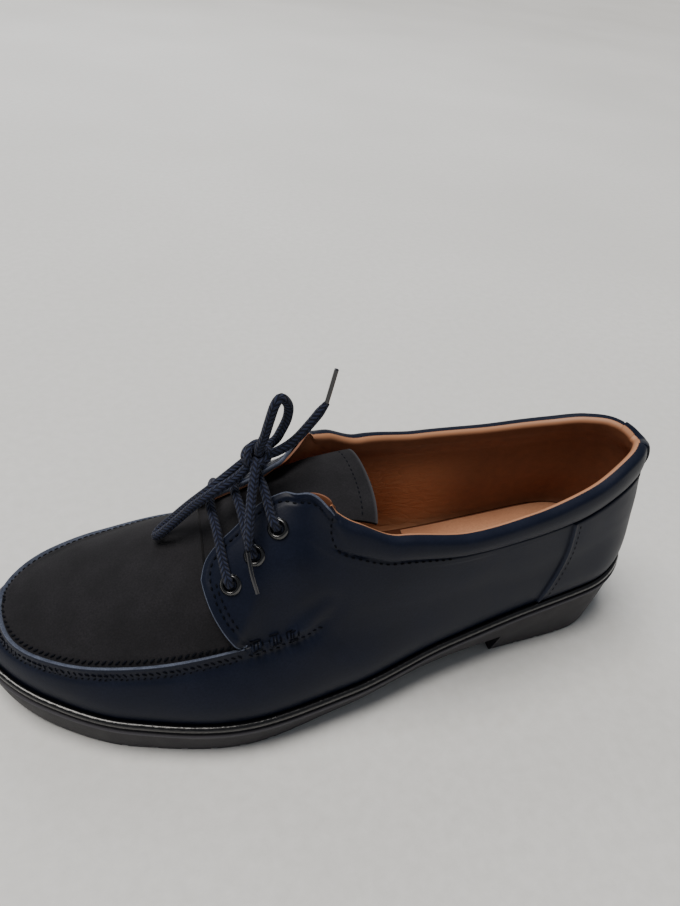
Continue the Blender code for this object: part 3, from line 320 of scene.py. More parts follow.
    def rim_place(self, track: Array, side: Array) -> tuple[Array, Array]:
        """Plan position on the rim before the shoe is centred on its width."""
        x = -self.length / 2 * np.cos(math.pi * np.asarray(track, float))
        return x, self.at("middle", self.along(x)) * self.half + side * self.rim_half(track)

    @cached_property
    def centring(self) -> float:
        """How far the outline lies off the middle of its own width."""
        tracks = np.linspace(0, 1, 400)
        lowest = self.rim_place(tracks, OUTER)[1].min()
        return (lowest + self.rim_place(tracks, INNER)[1].max()) / 2

    def middle(self, x: Array) -> Array:
        """Middle line of the last at a place x."""
        return self.at("middle", self.along(x)) * self.half - self.centring

    def rim_height(self, x: Array) -> Array:
        """Height of the rim, where the upper meets the sole."""
        share = self.along(x)
        rise = (self.rim_at_heel - self.rim_at_ball) * self.at("heel_rise", share)
        return self.rim_at_ball + rise + self.toe_spring * self.at("toe_lift", share)

    def outline(self, track: Array, side: Array, inset: Array = 0.0) -> tuple[Array, Array]:
        """Plan position on the rim, moved inwards across it."""
        small = 1e-4
        x, y = self.rim_place(track, side)
        x_before, y_before = self.rim_place(np.asarray(track) - small, side)
        x_after, y_after = self.rim_place(np.asarray(track) + small, side)
        dx, dy = x_after - x_before, y_after - y_before
        run = np.hypot(dx, dy)
        return x + side * inset * dy / run, y - side * inset * dx / run - self.centring

    def crown(self, x: Array, half: Array) -> Array:
        """Height of the apron and tongue surface at a half width from the middle."""
        start = self.apron_start * self.length
        sweep = np.sqrt(np.clip((x - start) / (self.apron_run * self.length), 0, 1.22 ** 2))
        edge = np.maximum(self.at("apron_half", sweep) * self.half, 1e-4)
        top = self.at("crown", x / self.length) * self.instep
        seam = self.at("apron_height", sweep) * self.toe_seam
        share = np.clip(np.abs(half) / edge, 0, 1) ** self.at("flatness", x / self.length)
        return top + (seam - top) * share

    def place(self, x: float, half: float, side: float, z: float, shift: float = 0.0) -> Array:
        """A point at a half width from the middle line."""
        return np.array([x, float(self.middle(x)) + shift + side * half, float(z)])

    def feather(self, track: float, side: int) -> Array:
        """Where the wall of the upper leaves the sole."""
        x, y = self.outline(track, side, self.feather_inset)
        return np.array([x, y, float(self.rim_height(x)) + self.welt_rise])

    def wall(self, track: float, side: int, mid: Array, towards: Array, shares: Array) -> Array:
        """Points of the wall from the feather to the middle of the side."""
        feather = self.feather(track, side)
        rim = np.array([*self.outline(track, side), feather[2]])
        outward = (rim - feather) / self.feather_inset
        reach = np.linalg.norm(mid - feather)
        leave = (np.array([0, 0, 0.9]) + outward * 0.22) * reach
        arrive = unit(towards - feather) * reach
        return hermite(feather, mid, leave, arrive, shares[:, None])

    def bowed(self, start: Array, end: Array, bow: float, side: int, s: Array) -> Array:
        """Plan positions between two points, bowed forward and outward."""
        push = np.array([self.bow_place * self.length, side * self.bow_half * self.half])
        control = (start + end) / 2 + bow * push
        s = s[:, None]
        return start * (1 - s) ** 2 + control * 2 * s * (1 - s) + end * s * s

    def vamp_rib(self, track: float, side: int, wall: Array, top: Array, crown: Array
                 ) -> tuple[Array, Array]:
        """One rib of the toe.

        Args:
            track: Track of the rib.
            side: Outer or inner side.
            wall: Shares up the wall.
            top: Shares from the seam to the turn of the apron.
            crown: Shares from the turn to the middle of the apron.

        Returns:
            The points of the wall and those of the apron.
        """
        sweep = float(self.at("sweep", track))
        seam_x = (self.apron_start + self.apron_run * sweep ** 2) * self.length
        height = float(self.at("apron_height", sweep)) * self.toe_seam
        half = float(self.at("apron_half", sweep)) * self.half
        mid = self.place(seam_x, half, side, height, -self.apron_shift)
        turn_x = float(self.at("turn_place", track)) * self.length
        turn_half = float(self.at("turn_half", track)) * self.half
        turn = self.place(turn_x, turn_half, side, self.crown(turn_x, turn_half), -self.apron_shift)
        walls = self.wall(track, side, mid, turn, wall)
        plan = self.bowed(mid[:2], turn[:2], float(self.at("vamp_bow", track)), side, top)
        across = np.abs(plan[:, 1] - self.middle(plan[:, 0]) + self.apron_shift)
        laid = np.column_stack([plan, self.crown(plan[:, 0], across)])
        laid[0, 2] = mid[2]
        crown_x = float(self.at("crown_place", track)) * self.length
        x = turn_x + (crown_x - turn_x) * crown
        half = turn_half * (1 - crown)
        y = self.middle(x) - self.apron_shift + side * half
        return walls, np.vstack([laid, np.column_stack([x, y, self.crown(x, half)])])

    def spring(self, track: float, share: Array) -> Array:
        """How far a facing springs up off the tongue."""
        return self.facing_spring_height * float(self.at("spring", track)) * share ** 2

    def top_edge(self, track: float, side: int) -> Array:
        """Inner top edge of a quarter: the throat, then the topline to the heel."""
        x = float(self.at("top_place", track)) * self.length
        half = float(self.at("top_half", track)) * self.half
        free = self.at("top_instep", track) * self.instep + self.at("top_back", track) * self.back
        on_crown = float(self.at("on_crown", track))
        laid = self.crown(x, half) + self.spring(track, 1.0)
        z = on_crown * laid + (1 - on_crown) * float(free)
        return self.place(x, half, side, z, -self.apron_shift * on_crown)

    def outward_of_top(self, track: float, side: int) -> Array:
        """Level direction out of the topline."""
        if track >= 1.0:
            return np.array([1.0, 0.0, 0.0])
        small = 2e-3
        run = (self.top_edge(min(track + small, 1.0), side)
               - self.top_edge(max(track - small, self.lap_track), side))
        return unit(np.array([-side * run[1], side * run[0], 0.0]))

    def quarter_rib(self, track: float, side: int, wall: Array, top: Array) -> tuple[Array, Array]:
        """One rib of a quarter: the points of its wall and of the part above."""
        on_crown = float(self.at("on_crown", track))
        collar = float(self.at("collar", track))
        x = float(self.at("mid_place", track)) * self.length
        half = float(self.at("mid_half", track)) * self.half
        free = self.at("mid_instep", track) * self.instep + self.at("mid_back", track) * self.back
        z = on_crown * self.crown(x, half) + (1 - on_crown) * float(free)
        mid = self.place(x, half, side, z, -self.apron_shift * on_crown)
        edge = self.top_edge(track, side)
        edge = edge + self.outward_of_top(track, side) * self.collar_thickness * collar
        run = np.linalg.norm(edge - mid)
        leave = unit(edge - self.feather(track, side)) * run
        walls = self.wall(track, side, mid, edge, wall)
        loose = hermite(mid, edge, leave, edge - mid, top[:, None])
        plan = self.bowed(mid[:2], edge[:2], float(self.at("bow", track)), side, top)
        across = np.abs(plan[:, 1] - self.middle(plan[:, 0]) + self.apron_shift)
        height = self.crown(plan[:, 0], across) + self.spring(track, top)
        laid = np.column_stack([plan, height])
        return walls, laid * on_crown + loose * (1 - on_crown)

    def facing_relief(self, track: Array, share: Array) -> Array:
        """How far a facing stands off the apron surface."""
        full_at = self.at("rise", track)
        s = np.clip(share / full_at, 0, 1)
        return self.facing_lift * self.at("on_crown", track) * s * s * (3 - 2 * s)

    def collar_line(self, track: Array) -> Array:
        """Share up the quarter at which the padded roll starts."""
        return np.interp(track, (0.52, 0.55, 0.62, 0.72, 1.0), (0.70, 0.735, 0.73, 0.66, 0.66))

    def soft_relief(self, track: Array, share: Array) -> Array:
        """The same lift, faded over a longer stretch of leather behind the facing."""
        s = np.clip(share / self.at("rise", track), 0, 1)
        return self.facing_lift * (1 - smoothstep(0.468, 0.548, track)) * s * s * (3 - 2 * s)


LAST = Last()


# Finishes
def linear(hex_colour: str) -> tuple[float, float, float, float]:
    """Linear RGBA of an sRGB hex colour such as #1b2233."""
    channels = [int(hex_colour[k:k + 2], 16) / 255 for k in (1, 3, 5)]
    return (*[c / 12.92 if c <= 0.04045 else ((c + 0.055) / 1.055) ** 2.4 for c in channels], 1.0)


def add_node(tree: bpy.types.NodeTree, kind: str, inputs: dict | None = None,
             **settings: object) -> bpy.types.Node:
    """Add a node with its settings and links.

    Args:
        tree: The node tree.
        kind: The node's type.
        inputs: Values or sockets for its inputs, by name or number.
        settings: Its own properties.

    Returns:
        The node.
    """
    made = tree.nodes.new(kind)
    for name, value in settings.items():
        setattr(made, name, value)
    for key, value in (inputs or {}).items():
        if isinstance(value, bpy.types.NodeSocket):
            tree.links.new(value, made.inputs[key])
        else:
            made.inputs[key].default_value = value
    return made


def maths(tree: bpy.types.NodeTree, operation: str, *values: object) -> bpy.types.NodeSocket:
    """One step of arithmetic in a material."""
    return add_node(tree, "ShaderNodeMath", dict(enumerate(values)), operation=operation).outputs[0]


def ranged(tree: bpy.types.NodeTree, value: bpy.types.NodeSocket, low: float, high: float,
           to_low: float = 0.0, to_high: float = 1.0) -> bpy.types.NodeSocket:
    """A value stretched from the range low to high on to another range."""
    return add_node(tree, "ShaderNodeMapRange", {
        "Value": value, "From Min": low, "From Max": high, "To Min": to_low,
        "To Max": to_high}).outputs[0]


def blend(tree: bpy.types.NodeTree, share: object, first: object, second: object
          ) -> bpy.types.NodeSocket:
    """Two colours mixed by a share."""
    return add_node(tree, "ShaderNodeMix", {"Factor": share, 6: first, 7: second},
                    data_type="RGBA").outputs[2]


def mark(tree: bpy.types.NodeTree, name: str) -> bpy.types.NodeSocket:
    """The share that a mesh carries at its points under a name."""
    return add_node(tree, "ShaderNodeAttribute", attribute_name=name).outputs["Fac"]


class Pattern(Enum):
    """How the surface of a finish is broken up."""

    GRAIN = "grain"
    NAP = "nap"
    WRINKLE = "wrinkle"
    BRAID = "braid"
    MOULDED = "moulded"
    PLAIN = "plain"


@dataclass(frozen=True)
class Finish:
    """One real material: its colours, gloss and the pattern of its surface.

    Scales and depths are in mm. The edge colour shows where a mesh marks its edge: pale cut
    edges, the tan edge of the lining and a painted highlight along the sole's rim. A mask names a
    mark that spreads both that colour, as painted light, and the depth of the pattern.
    """

    name: str
    base: str
    light: str
    roughness: float
    rough_range: float
    pattern: Pattern
    scale_mm: float
    depth_mm: float
    coat: float = 0.0
    sheen: float = 0.0
    specular: float = 0.4
    cloud_mm: float = 18.0
    edge: str | None = None
    wrinkle_and_painted_light_mask: str | None = None

    def material(self) -> bpy.types.Material:
        """The finish as a node material, made once."""
        found = bpy.data.materials.get(self.name)
        if found:
            return found
        made = bpy.data.materials.new(self.name)
        made.use_nodes = True
        made.diffuse_color = linear(self.base)
        self.fill(made.node_tree)
        return made

    def fill(self, tree: bpy.types.NodeTree) -> None:
        """Build the nodes."""
        shader = tree.nodes["Principled BSDF"]
        place = add_node(tree, "ShaderNodeTexCoord").outputs["Object"]
        cloud = add_node(tree, "ShaderNodeTexNoise", {
            "Vector": place, "Scale": 1000 / self.cloud_mm, "Detail": 3.0,
            "Roughness": 0.55}).outputs["Fac"]
        fine = add_node(tree, "ShaderNodeTexNoise", {
            "Vector": place, "Scale": 1000 / self.scale_mm, "Detail": 4.0,
            "Roughness": 0.6}).outputs["Fac"]
        height = self.height(tree, place, fine)
        # On a braid the colour follows the strands' height: painted shade in the grooves and
        # painted highlight on the tops. Other finishes mix their two tones at random
        share = height
        if self.pattern is not Pattern.BRAID:
            share = ranged(tree, maths(tree, "MULTIPLY", cloud, fine), 0.12, 0.42)
        colour = blend(tree, share, linear(self.base), linear(self.light))
        # The mask paints the edge colour over the lining's low front part: painted light from above
        if self.wrinkle_and_painted_light_mask:
            colour = blend(tree, mark(tree, self.wrinkle_and_painted_light_mask), colour, linear(self.edge))
        # The edge mark paints pale cut edges and the lining's tan edge, and along the sole's rim a
        # painted highlight
        if self.edge:
            colour = blend(tree, mark(tree, "edge"), colour, linear(self.edge))
        rough = ranged(tree, cloud, 0.3, 0.7, self.roughness - self.rough_range,
                       self.roughness + self.rough_range)
        bump = add_node(tree, "ShaderNodeBump", {
            "Height": height, "Distance": self.depth_mm / 1000, "Strength": 1.0}).outputs[0]
        for name, value in (("Base Color", colour), ("Roughness", rough), ("Normal", bump)):
            tree.links.new(value, shader.inputs[name])
        for name, value in (("Specular IOR Level", self.specular), ("Coat Weight", self.coat),
                            ("Coat Roughness", 0.25), ("Sheen Weight", self.sheen),
                            ("Sheen Roughness", 0.45)):
            shader.inputs[name].default_value = value

    def height(self, tree: bpy.types.NodeTree, place: bpy.types.NodeSocket,
               fine: bpy.types.NodeSocket) -> bpy.types.NodeSocket:
        """The height of the pattern, from 0 to 1."""
        if self.pattern is Pattern.GRAIN:
            cells = add_node(tree, "ShaderNodeTexVoronoi", {
                "Vector": place, "Scale": 1000 / self.scale_mm}, feature="SMOOTH_F1")
            return maths(tree, "ADD", cells.outputs["Distance"], fine)
        if self.pattern is Pattern.WRINKLE:
            bent = add_node(tree, "ShaderNodeTexNoise", {
                "Vector": place, "Scale": 220.0, "Detail": 2.0})
            pushed = add_node(tree, "ShaderNodeMix", {
                "Factor": 0.003, 4: place, 5: bent.outputs["Color"]}, data_type="VECTOR")
            drawn = add_node(tree, "ShaderNodeMapping", {
                "Vector": pushed.outputs[1], "Scale": (0.6, 0.6, 1.5)})
            waves = add_node(tree, "ShaderNodeTexVoronoi", {
                "Vector": drawn.outputs[0], "Scale": 1000 / self.scale_mm},
                feature="DISTANCE_TO_EDGE")
            crease = ranged(tree, waves.outputs["Distance"], 0.0, 0.35)
            return maths(tree, "MULTIPLY", crease, mark(tree, self.wrinkle_and_painted_light_mask)) if self.wrinkle_and_painted_light_mask else crease
        if self.pattern is Pattern.BRAID:
            return self.braid(tree)
        return fine

    def braid(self, tree: bpy.types.NodeTree) -> bpy.types.NodeSocket:
        """Strands that run up in chevrons round a cord, on its own UV map."""
        map_at = add_node(tree, "ShaderNodeUVMap", uv_map="cord").outputs[0]
        axes = add_node(tree, "ShaderNodeSeparateXYZ", {0: map_at})
        slant = maths(tree, "PINGPONG", maths(tree, "MULTIPLY", axes.outputs[0], 6.0), 1.0)
        along = maths(tree, "MULTIPLY", axes.outputs[1], 1000 / self.scale_mm)
        angle = maths(tree, "MULTIPLY", maths(tree, "ADD", along, slant), math.tau)
        strand = ranged(tree, maths(tree, "SINE", angle), -1.0, 0.6)
        middle = maths(tree, "ABSOLUTE", maths(tree, "SUBTRACT", slant, 0.5))
        return maths(tree, "MULTIPLY", strand, ranged(tree, middle, 0.5, 0.34))


# Corrected-grain cowhide, aniline dyed and waxed: a deep navy satin with soft broad highlights
NAVY = Finish("navy_cowhide_satin", "#0f1422", "#171c2c", 0.44, 0.05, Pattern.GRAIN, 0.7, 0.02,
              coat=0.02, specular=0.14, edge="#434959")
# Nubuck, sanded on the grain side: charcoal, no gloss, a short pale nap in patches
NUBUCK = Finish("charcoal_nubuck", "#19191b", "#272629", 0.92, 0.04, Pattern.NAP, 0.6, 0.06,
                sheen=0.05, specular=0.12, cloud_mm=14.0, edge="#4c4c4f")
# Pigskin lining, drum dyed: tan brown with fine wrinkles where it is drawn over the last, and
# painted paler there too: painted light falling on its low front part
LINING = Finish("tan_lining_leather", "#5c3422", "#74452d", 0.5, 0.06, Pattern.WRINKLE, 4.5, 0.20,
                cloud_mm=30.0, edge="#bb8560", wrinkle_and_painted_light_mask="drawn")
# Smooth sock leather over thin foam: an even tan with a low sheen
SOCK = Finish("tan_sock_leather", "#b98362", "#cc9673", 0.42, 0.06, Pattern.GRAIN, 0.9, 0.02)
# Moulded thermoplastic rubber: black, satin, with the fine grit of a blasted mould. Its edge
# colour is a painted highlight along the ridge of the rim
RUBBER = Finish("black_moulded_rubber", "#1f1e22", "#2d2b30", 0.6, 0.08, Pattern.MOULDED, 0.5,
                0.06, specular=0.25, cloud_mm=10.0, edge="#5a595f")
# The same rubber from a polished part of the mould: a wet black bead with fine ripples
BEAD = Finish("polished_rubber_bead", "#08080a", "#121214", 0.20, 0.05, Pattern.WRINKLE, 1.9, 0.06,
              coat=0.4)
# Cut edge of dyed leather: the pale core shows as a grey line
RAW_EDGE = Finish("raw_leather_edge", "#3c4251", "#616879", 0.75, 0.05, Pattern.NAP, 0.5, 0.05,
                  specular=0.2, cloud_mm=4.0)
# Bonded polyester thread: near black navy, nearly without gloss
THREAD = Finish("bonded_navy_thread", "#03050a", "#080b16", 0.7, 0.05, Pattern.NAP, 0.3, 0.05,
                specular=0.1)
# Round braided polyester lace: 16 strands over a core, dark navy. The colour follows the
# strands: painted shade in the grooves between them, painted highlight on their tops
BRAIDED = Finish("braided_navy_lace", "#090c18", "#262c42", 0.8, 0.05, Pattern.BRAID, 1.7, 0.30,
                 sheen=0.06, specular=0.2)
# Black enamelled brass: hard, wet gloss
ENAMEL = Finish("black_enamel_eyelet", "#060608", "#0c0c0e", 0.16, 0.03, Pattern.PLAIN, 1.0, 0.0,
                coat=1.0)
# Acetate film rolled and shrunk on the lace: smoky, with a hard highlight
ACETATE = Finish("smoky_acetate_tag", "#0b0c11", "#1a1c24", 0.16, 0.05, Pattern.PLAIN, 1.0, 0.0,
                 coat=0.8)
# Painted board under the shoe
FLOOR = Finish("pale_painted_floor", "#d3d3d0", "#dededc", 0.7, 0.05, Pattern.PLAIN, 5.0, 0.0,
               cloud_mm=300.0)


# Making pieces
@dataclass
class Surface:
    """Points and faces on their way to becoming a piece."""

    points: Array
    faces: list[tuple[int, ...]]
    marks: dict[str, Array] = field(default_factory=dict)

    def normals(self) -> Array:
        """Normals at the points, from the faces round them."""
        total = np.zeros_like(self.points)
        for size in (3, 4):
            group = np.array([f for f in self.faces if len(f) == size], int)
            if len(group):
                corners = self.points[group]
                normal = np.cross(corners[:, 2] - corners[:, 0], corners[:, -1] - corners[:, 1])
                for k in range(size):
                    np.add.at(total, group[:, k], normal)
        _, same = self.places()
        merged = np.zeros((same.max() + 1, 3))
        np.add.at(merged, same, total)
        return unit(merged[same])

    def places(self) -> tuple[Array, Array]:
        """First point at each place, and the place of each point."""
        _, first, same = np.unique(np.round(self.points / MERGE), axis=0, return_index=True,
                                   return_inverse=True)
        return first, same.reshape(-1)

    def welded(self) -> "Surface":
        """The surface with points that coincide made one, and no collapsed faces."""
        first, same = self.places()
        faces = []
        for f in self.faces:
            corners = [int(same[v]) for v in f]
            corners = [v for k, v in enumerate(corners) if v != corners[k - 1]]
            if len(set(corners)) >= 3:
                faces.append(tuple(corners))
        return Surface(self.points[first], faces, {k: v[first] for k, v in self.marks.items()})

    def cleaned(self) -> "Surface":
        """The surface without faces that have collapsed to a line."""
        keep = []
        for f in self.faces:
            corners = self.points[list(f)]
            if np.linalg.norm(np.cross(corners[2] - corners[0], corners[-1] - corners[1])) > 1e-12:
                keep.append(f)
        return Surface(self.points, keep, self.marks)

    def moved(self, distance: Array) -> "Surface":
        """The surface, moved along its normals."""
        return Surface(self.points + self.normals() * distance[:, None], self.faces, self.marks)

    def thickened(self, depth: float) -> "Surface":
        """A closed sheet: this surface and its back, joined round their borders."""
        front = self.welded()
        count = len(front.points)
        back = front.points - front.normals() * depth
        faces = front.faces + [tuple(v + count for v in reversed(f)) for f in front.faces]
        once = {pair for f in front.faces for pair in zip(f, f[1:] + f[:1])}
        faces += [(b, a, a + count, b + count) for a, b in once if (b, a) not in once]
        marks = {k: np.concatenate([v, v]) for k, v in front.marks.items()}
        return Surface(np.vstack([front.points, back]), faces, marks)

    def tree(self) -> BVHTree:
        """The surface as something that a path can be laid on."""
        return BVHTree.FromPolygons([Vector(p) for p in self.points], self.faces)


def grid_faces(columns: int, rows: int, closed: bool = False, flip: bool = False,
               rolled: bool = False) -> list[tuple[int, ...]]:
    """Quads of a grid whose points run row by row in each column.

    Args:
        columns: Number of columns.
        rows: Number of points in each.
        closed: Join the last column to the first.
        flip: Turn the faces over.
        rolled: Join the last row to the first.

    Returns:
        The point numbers of each face.
    """
    faces = []
    for k in range(columns if closed else columns - 1):
        after = (k + 1) % columns
        for j in range(rows if rolled else rows - 1):
            beside = (j + 1) % rows
            quad = (k * rows + j, after * rows + j, after * rows + beside, k * rows + beside)
            faces.append(quad[::-1] if flip else quad)
    return faces


def index_faces(grid: Array) -> list[tuple[int, ...]]:
    """Quads between neighbours in a grid of point numbers."""
    corners = (grid[:-1, 1:], grid[1:, 1:], grid[1:, :-1], grid[:-1, :-1])
    return [tuple(f) for f in np.stack(corners, axis=-1).reshape(-1, 4).tolist()]


def linked(name: str, data: bpy.types.ID) -> bpy.types.Object:
    """A new object in the scene."""
    item = bpy.data.objects.new(name, data)
    bpy.context.scene.collection.objects.link(item)
    return item


def mesh_from(name: str, surface: Surface, weld: bool = False) -> bpy.types.Mesh:
    """A mesh of a surface, with its faces turned outwards.

    Args:
        name: The mesh's name.
        surface: Its points, faces and marks.
        weld: Join points that coincide.

    Returns:
        The mesh.
    """
    mesh = bpy.data.meshes.new(name)
    mesh.from_pydata([tuple(p) for p in surface.points], [], surface.faces)
    for label, values in surface.marks.items():
        layer = mesh.attributes.new(label, "FLOAT", "POINT")
        layer.data.foreach_set("value", np.asarray(values, np.float32))
    work = bmesh.new()
    work.from_mesh(mesh)
    if weld:
        bmesh.ops.remove_doubles(work, verts=work.verts, dist=1e-6)
    bmesh.ops.recalc_face_normals(work, faces=work.faces)
    work.to_mesh(mesh)
    work.free()
    return mesh


def adopt(name: str, mesh: bpy.types.Mesh, finish: Finish,
          replaces: Sequence[str] = (), crease: float = 40.0) -> bpy.types.Object:
    """Turn a finished mesh into a piece that rides on the shoe.

    Args:
        name: The piece's name.
        mesh: Its mesh.
        finish: Its material.
        replaces: CAD nodes that it stands for.
        crease: Angle in degrees past which an edge is sharp.

    Returns:
        The object.
    """
    mesh.materials.clear()
    mesh.materials.append(finish.material())
    mesh.shade_smooth()
    mesh.set_sharp_from_angle(angle=math.radians(crease))
    item = linked(name, mesh)
    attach(item, "root")
    if replaces:
        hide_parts(*replaces)
    LOG.info("%s: %d faces", name, len(mesh.polygons))
    return item


def make_piece(name: str, surface: Surface, finish: Finish,
               replaces: Sequence[str] = (), crease: float = 40.0) -> bpy.types.Object:
    """Turn a surface into a piece that rides on the shoe, as adopt does with a mesh."""
    return adopt(name, mesh_from(name, surface, weld=True), finish, replaces, crease)


def make_strip(name: str, rows: Sequence[Array]) -> None:
    """A closed strip of raw leather edge.

    Args:
        name: The piece's name.
        rows: Paths that run side by side round the strip.
    """
    strip = np.stack(rows, axis=1)
    count, size = strip.shape[:2]
    faces = grid_faces(count, size, rolled=True)
    faces += [tuple(range(size)), tuple(range((count - 1) * size, count * size))[::-1]]
    make_piece(name, Surface(strip.reshape(-1, 3), faces), RAW_EDGE)


def tube(points: Array, radius: float, sides: int = 14, swell: Array | None = None
         ) -> tuple[Surface, list[tuple[float, float]]]:
    """A round tube along a path, with rounded ends.

    Args:
        points: The path.
        radius: The tube's radius.
        sides: Points round it.
        swell: Factor on the radius at each point of the path.

    Returns:
        The surface, and u round it and v along it in metres for each point.
    """
    run = unit(np.gradient(points, axis=0))
    side = unit(np.cross(run[0], [0.0, 0.0, 1.0]) + np.array([1e-6, 0, 0]))
    travel = arc_length(points)
    factor = np.ones(len(points)) if swell is None else np.asarray(swell)
    verts, uvs = [], []
    for k, point in enumerate(points):
        side = unit(side - run[k] * np.dot(side, run[k]))
        up = np.cross(run[k], side)
        for j in range(sides):
            angle = math.tau * j / sides
            outward = math.cos(angle) * side + math.sin(angle) * up
            verts.append(point + radius * factor[k] * outward)
            uvs.append((j / sides, travel[k]))
    faces = [(a, d, c, b) for a, b, c, d in grid_faces(len(points), sides, rolled=True)]
    last = (len(points) - 1) * sides
    for start, at, turn in ((0, 0, -1), (last, -1, 1)):
        verts.append(points[at] + run[at] * turn * radius * factor[at] * 0.35)
        uvs.append((0.0, travel[at]))
        tip = len(verts) - 1
        for j in range(sides):
            pair = (start + j, start + (j + 1) % sides)
            faces.append((*pair, tip) if turn > 0 else (*pair[::-1], tip))
    return Surface(np.array(verts), faces), uvs


@dataclass
class StitchRow:
    """Stitches laid along a surface, made by one Geometry Nodes tree."""

    name: str
    length_mm: float = 1.9
    width_mm: float = 0.55
    height_mm: float = 0.35

    def tree(self) -> bpy.types.NodeTree:
        """The node tree: a rounded stitch on every point, turned as the point says."""
        tree = bpy.data.node_groups.new("stitches_" + self.name, "GeometryNodeTree")
        face = tree.interface
        face.new_socket("Geometry", in_out="INPUT", socket_type="NodeSocketGeometry")
        for label in ("Length", "Width", "Height"):
            face.new_socket(label, in_out="INPUT", socket_type="NodeSocketFloat")
        face.new_socket("Thread", in_out="INPUT", socket_type="NodeSocketMaterial")
        face.new_socket("Geometry", in_out="OUTPUT", socket_type="NodeSocketGeometry")
        given = add_node(tree, "NodeGroupInput")
        size = add_node(tree, "ShaderNodeCombineXYZ", {
            0: given.outputs["Length"], 1: given.outputs["Width"], 2: given.outputs["Height"]})
        bead = add_node(tree, "GeometryNodeMeshUVSphere", {
            "Segments": 8, "Rings": 6, "Radius": 0.5})
        along, outward = (add_node(tree, "GeometryNodeInputNamedAttribute", {"Name": label},
                                   data_type="FLOAT_VECTOR") for label in ("along", "outward"))
        first = add_node(tree, "FunctionNodeAlignRotationToVector", {
            "Vector": outward.outputs[0]}, axis="Z")
        second = add_node(tree, "FunctionNodeAlignRotationToVector", {
            "Rotation": first.outputs[0], "Vector": along.outputs[0]}, axis="X", pivot_axis="Z")
        placed = add_node(tree, "GeometryNodeInstanceOnPoints", {
            "Points": given.outputs["Geometry"], "Instance": bead.outputs["Mesh"],
            "Rotation": second.outputs[0], "Scale": size.outputs[0]})
        real = add_node(tree, "GeometryNodeRealizeInstances", {0: placed.outputs[0]})
        dressed = add_node(tree, "GeometryNodeSetMaterial", {
            "Geometry": real.outputs[0], "Material": given.outputs["Thread"]})
        add_node(tree, "NodeGroupOutput", {0: dressed.outputs[0]})
        return tree

    def make(self, places: Array, along: Array, outward: Array
             ) -> bpy.types.Object | None:
        """Lay the stitches.

        Args:
            places: Middle of each stitch.
            along: Direction of each stitch.
            outward: Direction off the surface at each stitch.

        Returns:
            The stitches as one plain piece.
        """
        mesh = bpy.data.meshes.new("points_" + self.name)
        mesh.from_pydata([tuple(p) for p in places], [], [])
        for label, values in (("along", along), ("outward", outward)):
            layer = mesh.attributes.new(label, "FLOAT_VECTOR", "POINT")
            layer.data.foreach_set("vector", np.asarray(values, np.float32).ravel())
        holder = linked("holder_" + self.name, mesh)
        step = holder.modifiers.new("stitches", "NODES")
        step.node_group = self.tree()
        wanted = {"Length": self.length_mm / 1000, "Width": self.width_mm / 1000,
                  "Height": self.height_mm / 1000, "Thread": THREAD.material()}
        for item in step.node_group.interface.items_tree:
            if item.in_out == "INPUT" and item.name in wanted:
                step[item.identifier] = wanted[item.name]
        graph = bpy.context.evaluated_depsgraph_get()
        made = bpy.data.meshes.new_from_object(holder.evaluated_get(graph))
        bpy.data.objects.remove(holder)
        made.name = self.name
        return adopt(self.name, made, THREAD, crease=80.0)


def lay_on(tree: BVHTree, points: Array, lift: float = 0.0) -> tuple[Array, Array]:
    """Lay points on a surface.

    Args:
        tree: The surface.
        points: Points near it.
        lift: How far to keep them off it.

    Returns:
        The points on the surface, and the normals there.
    """
    laid, normals = [], []
    for point in points:
        at, normal, _, _ = tree.find_nearest(Vector(point))
        laid.append(np.array(at) + np.array(normal) * lift)
        normals.append(np.array(normal))
    return np.array(laid), np.array(normals)


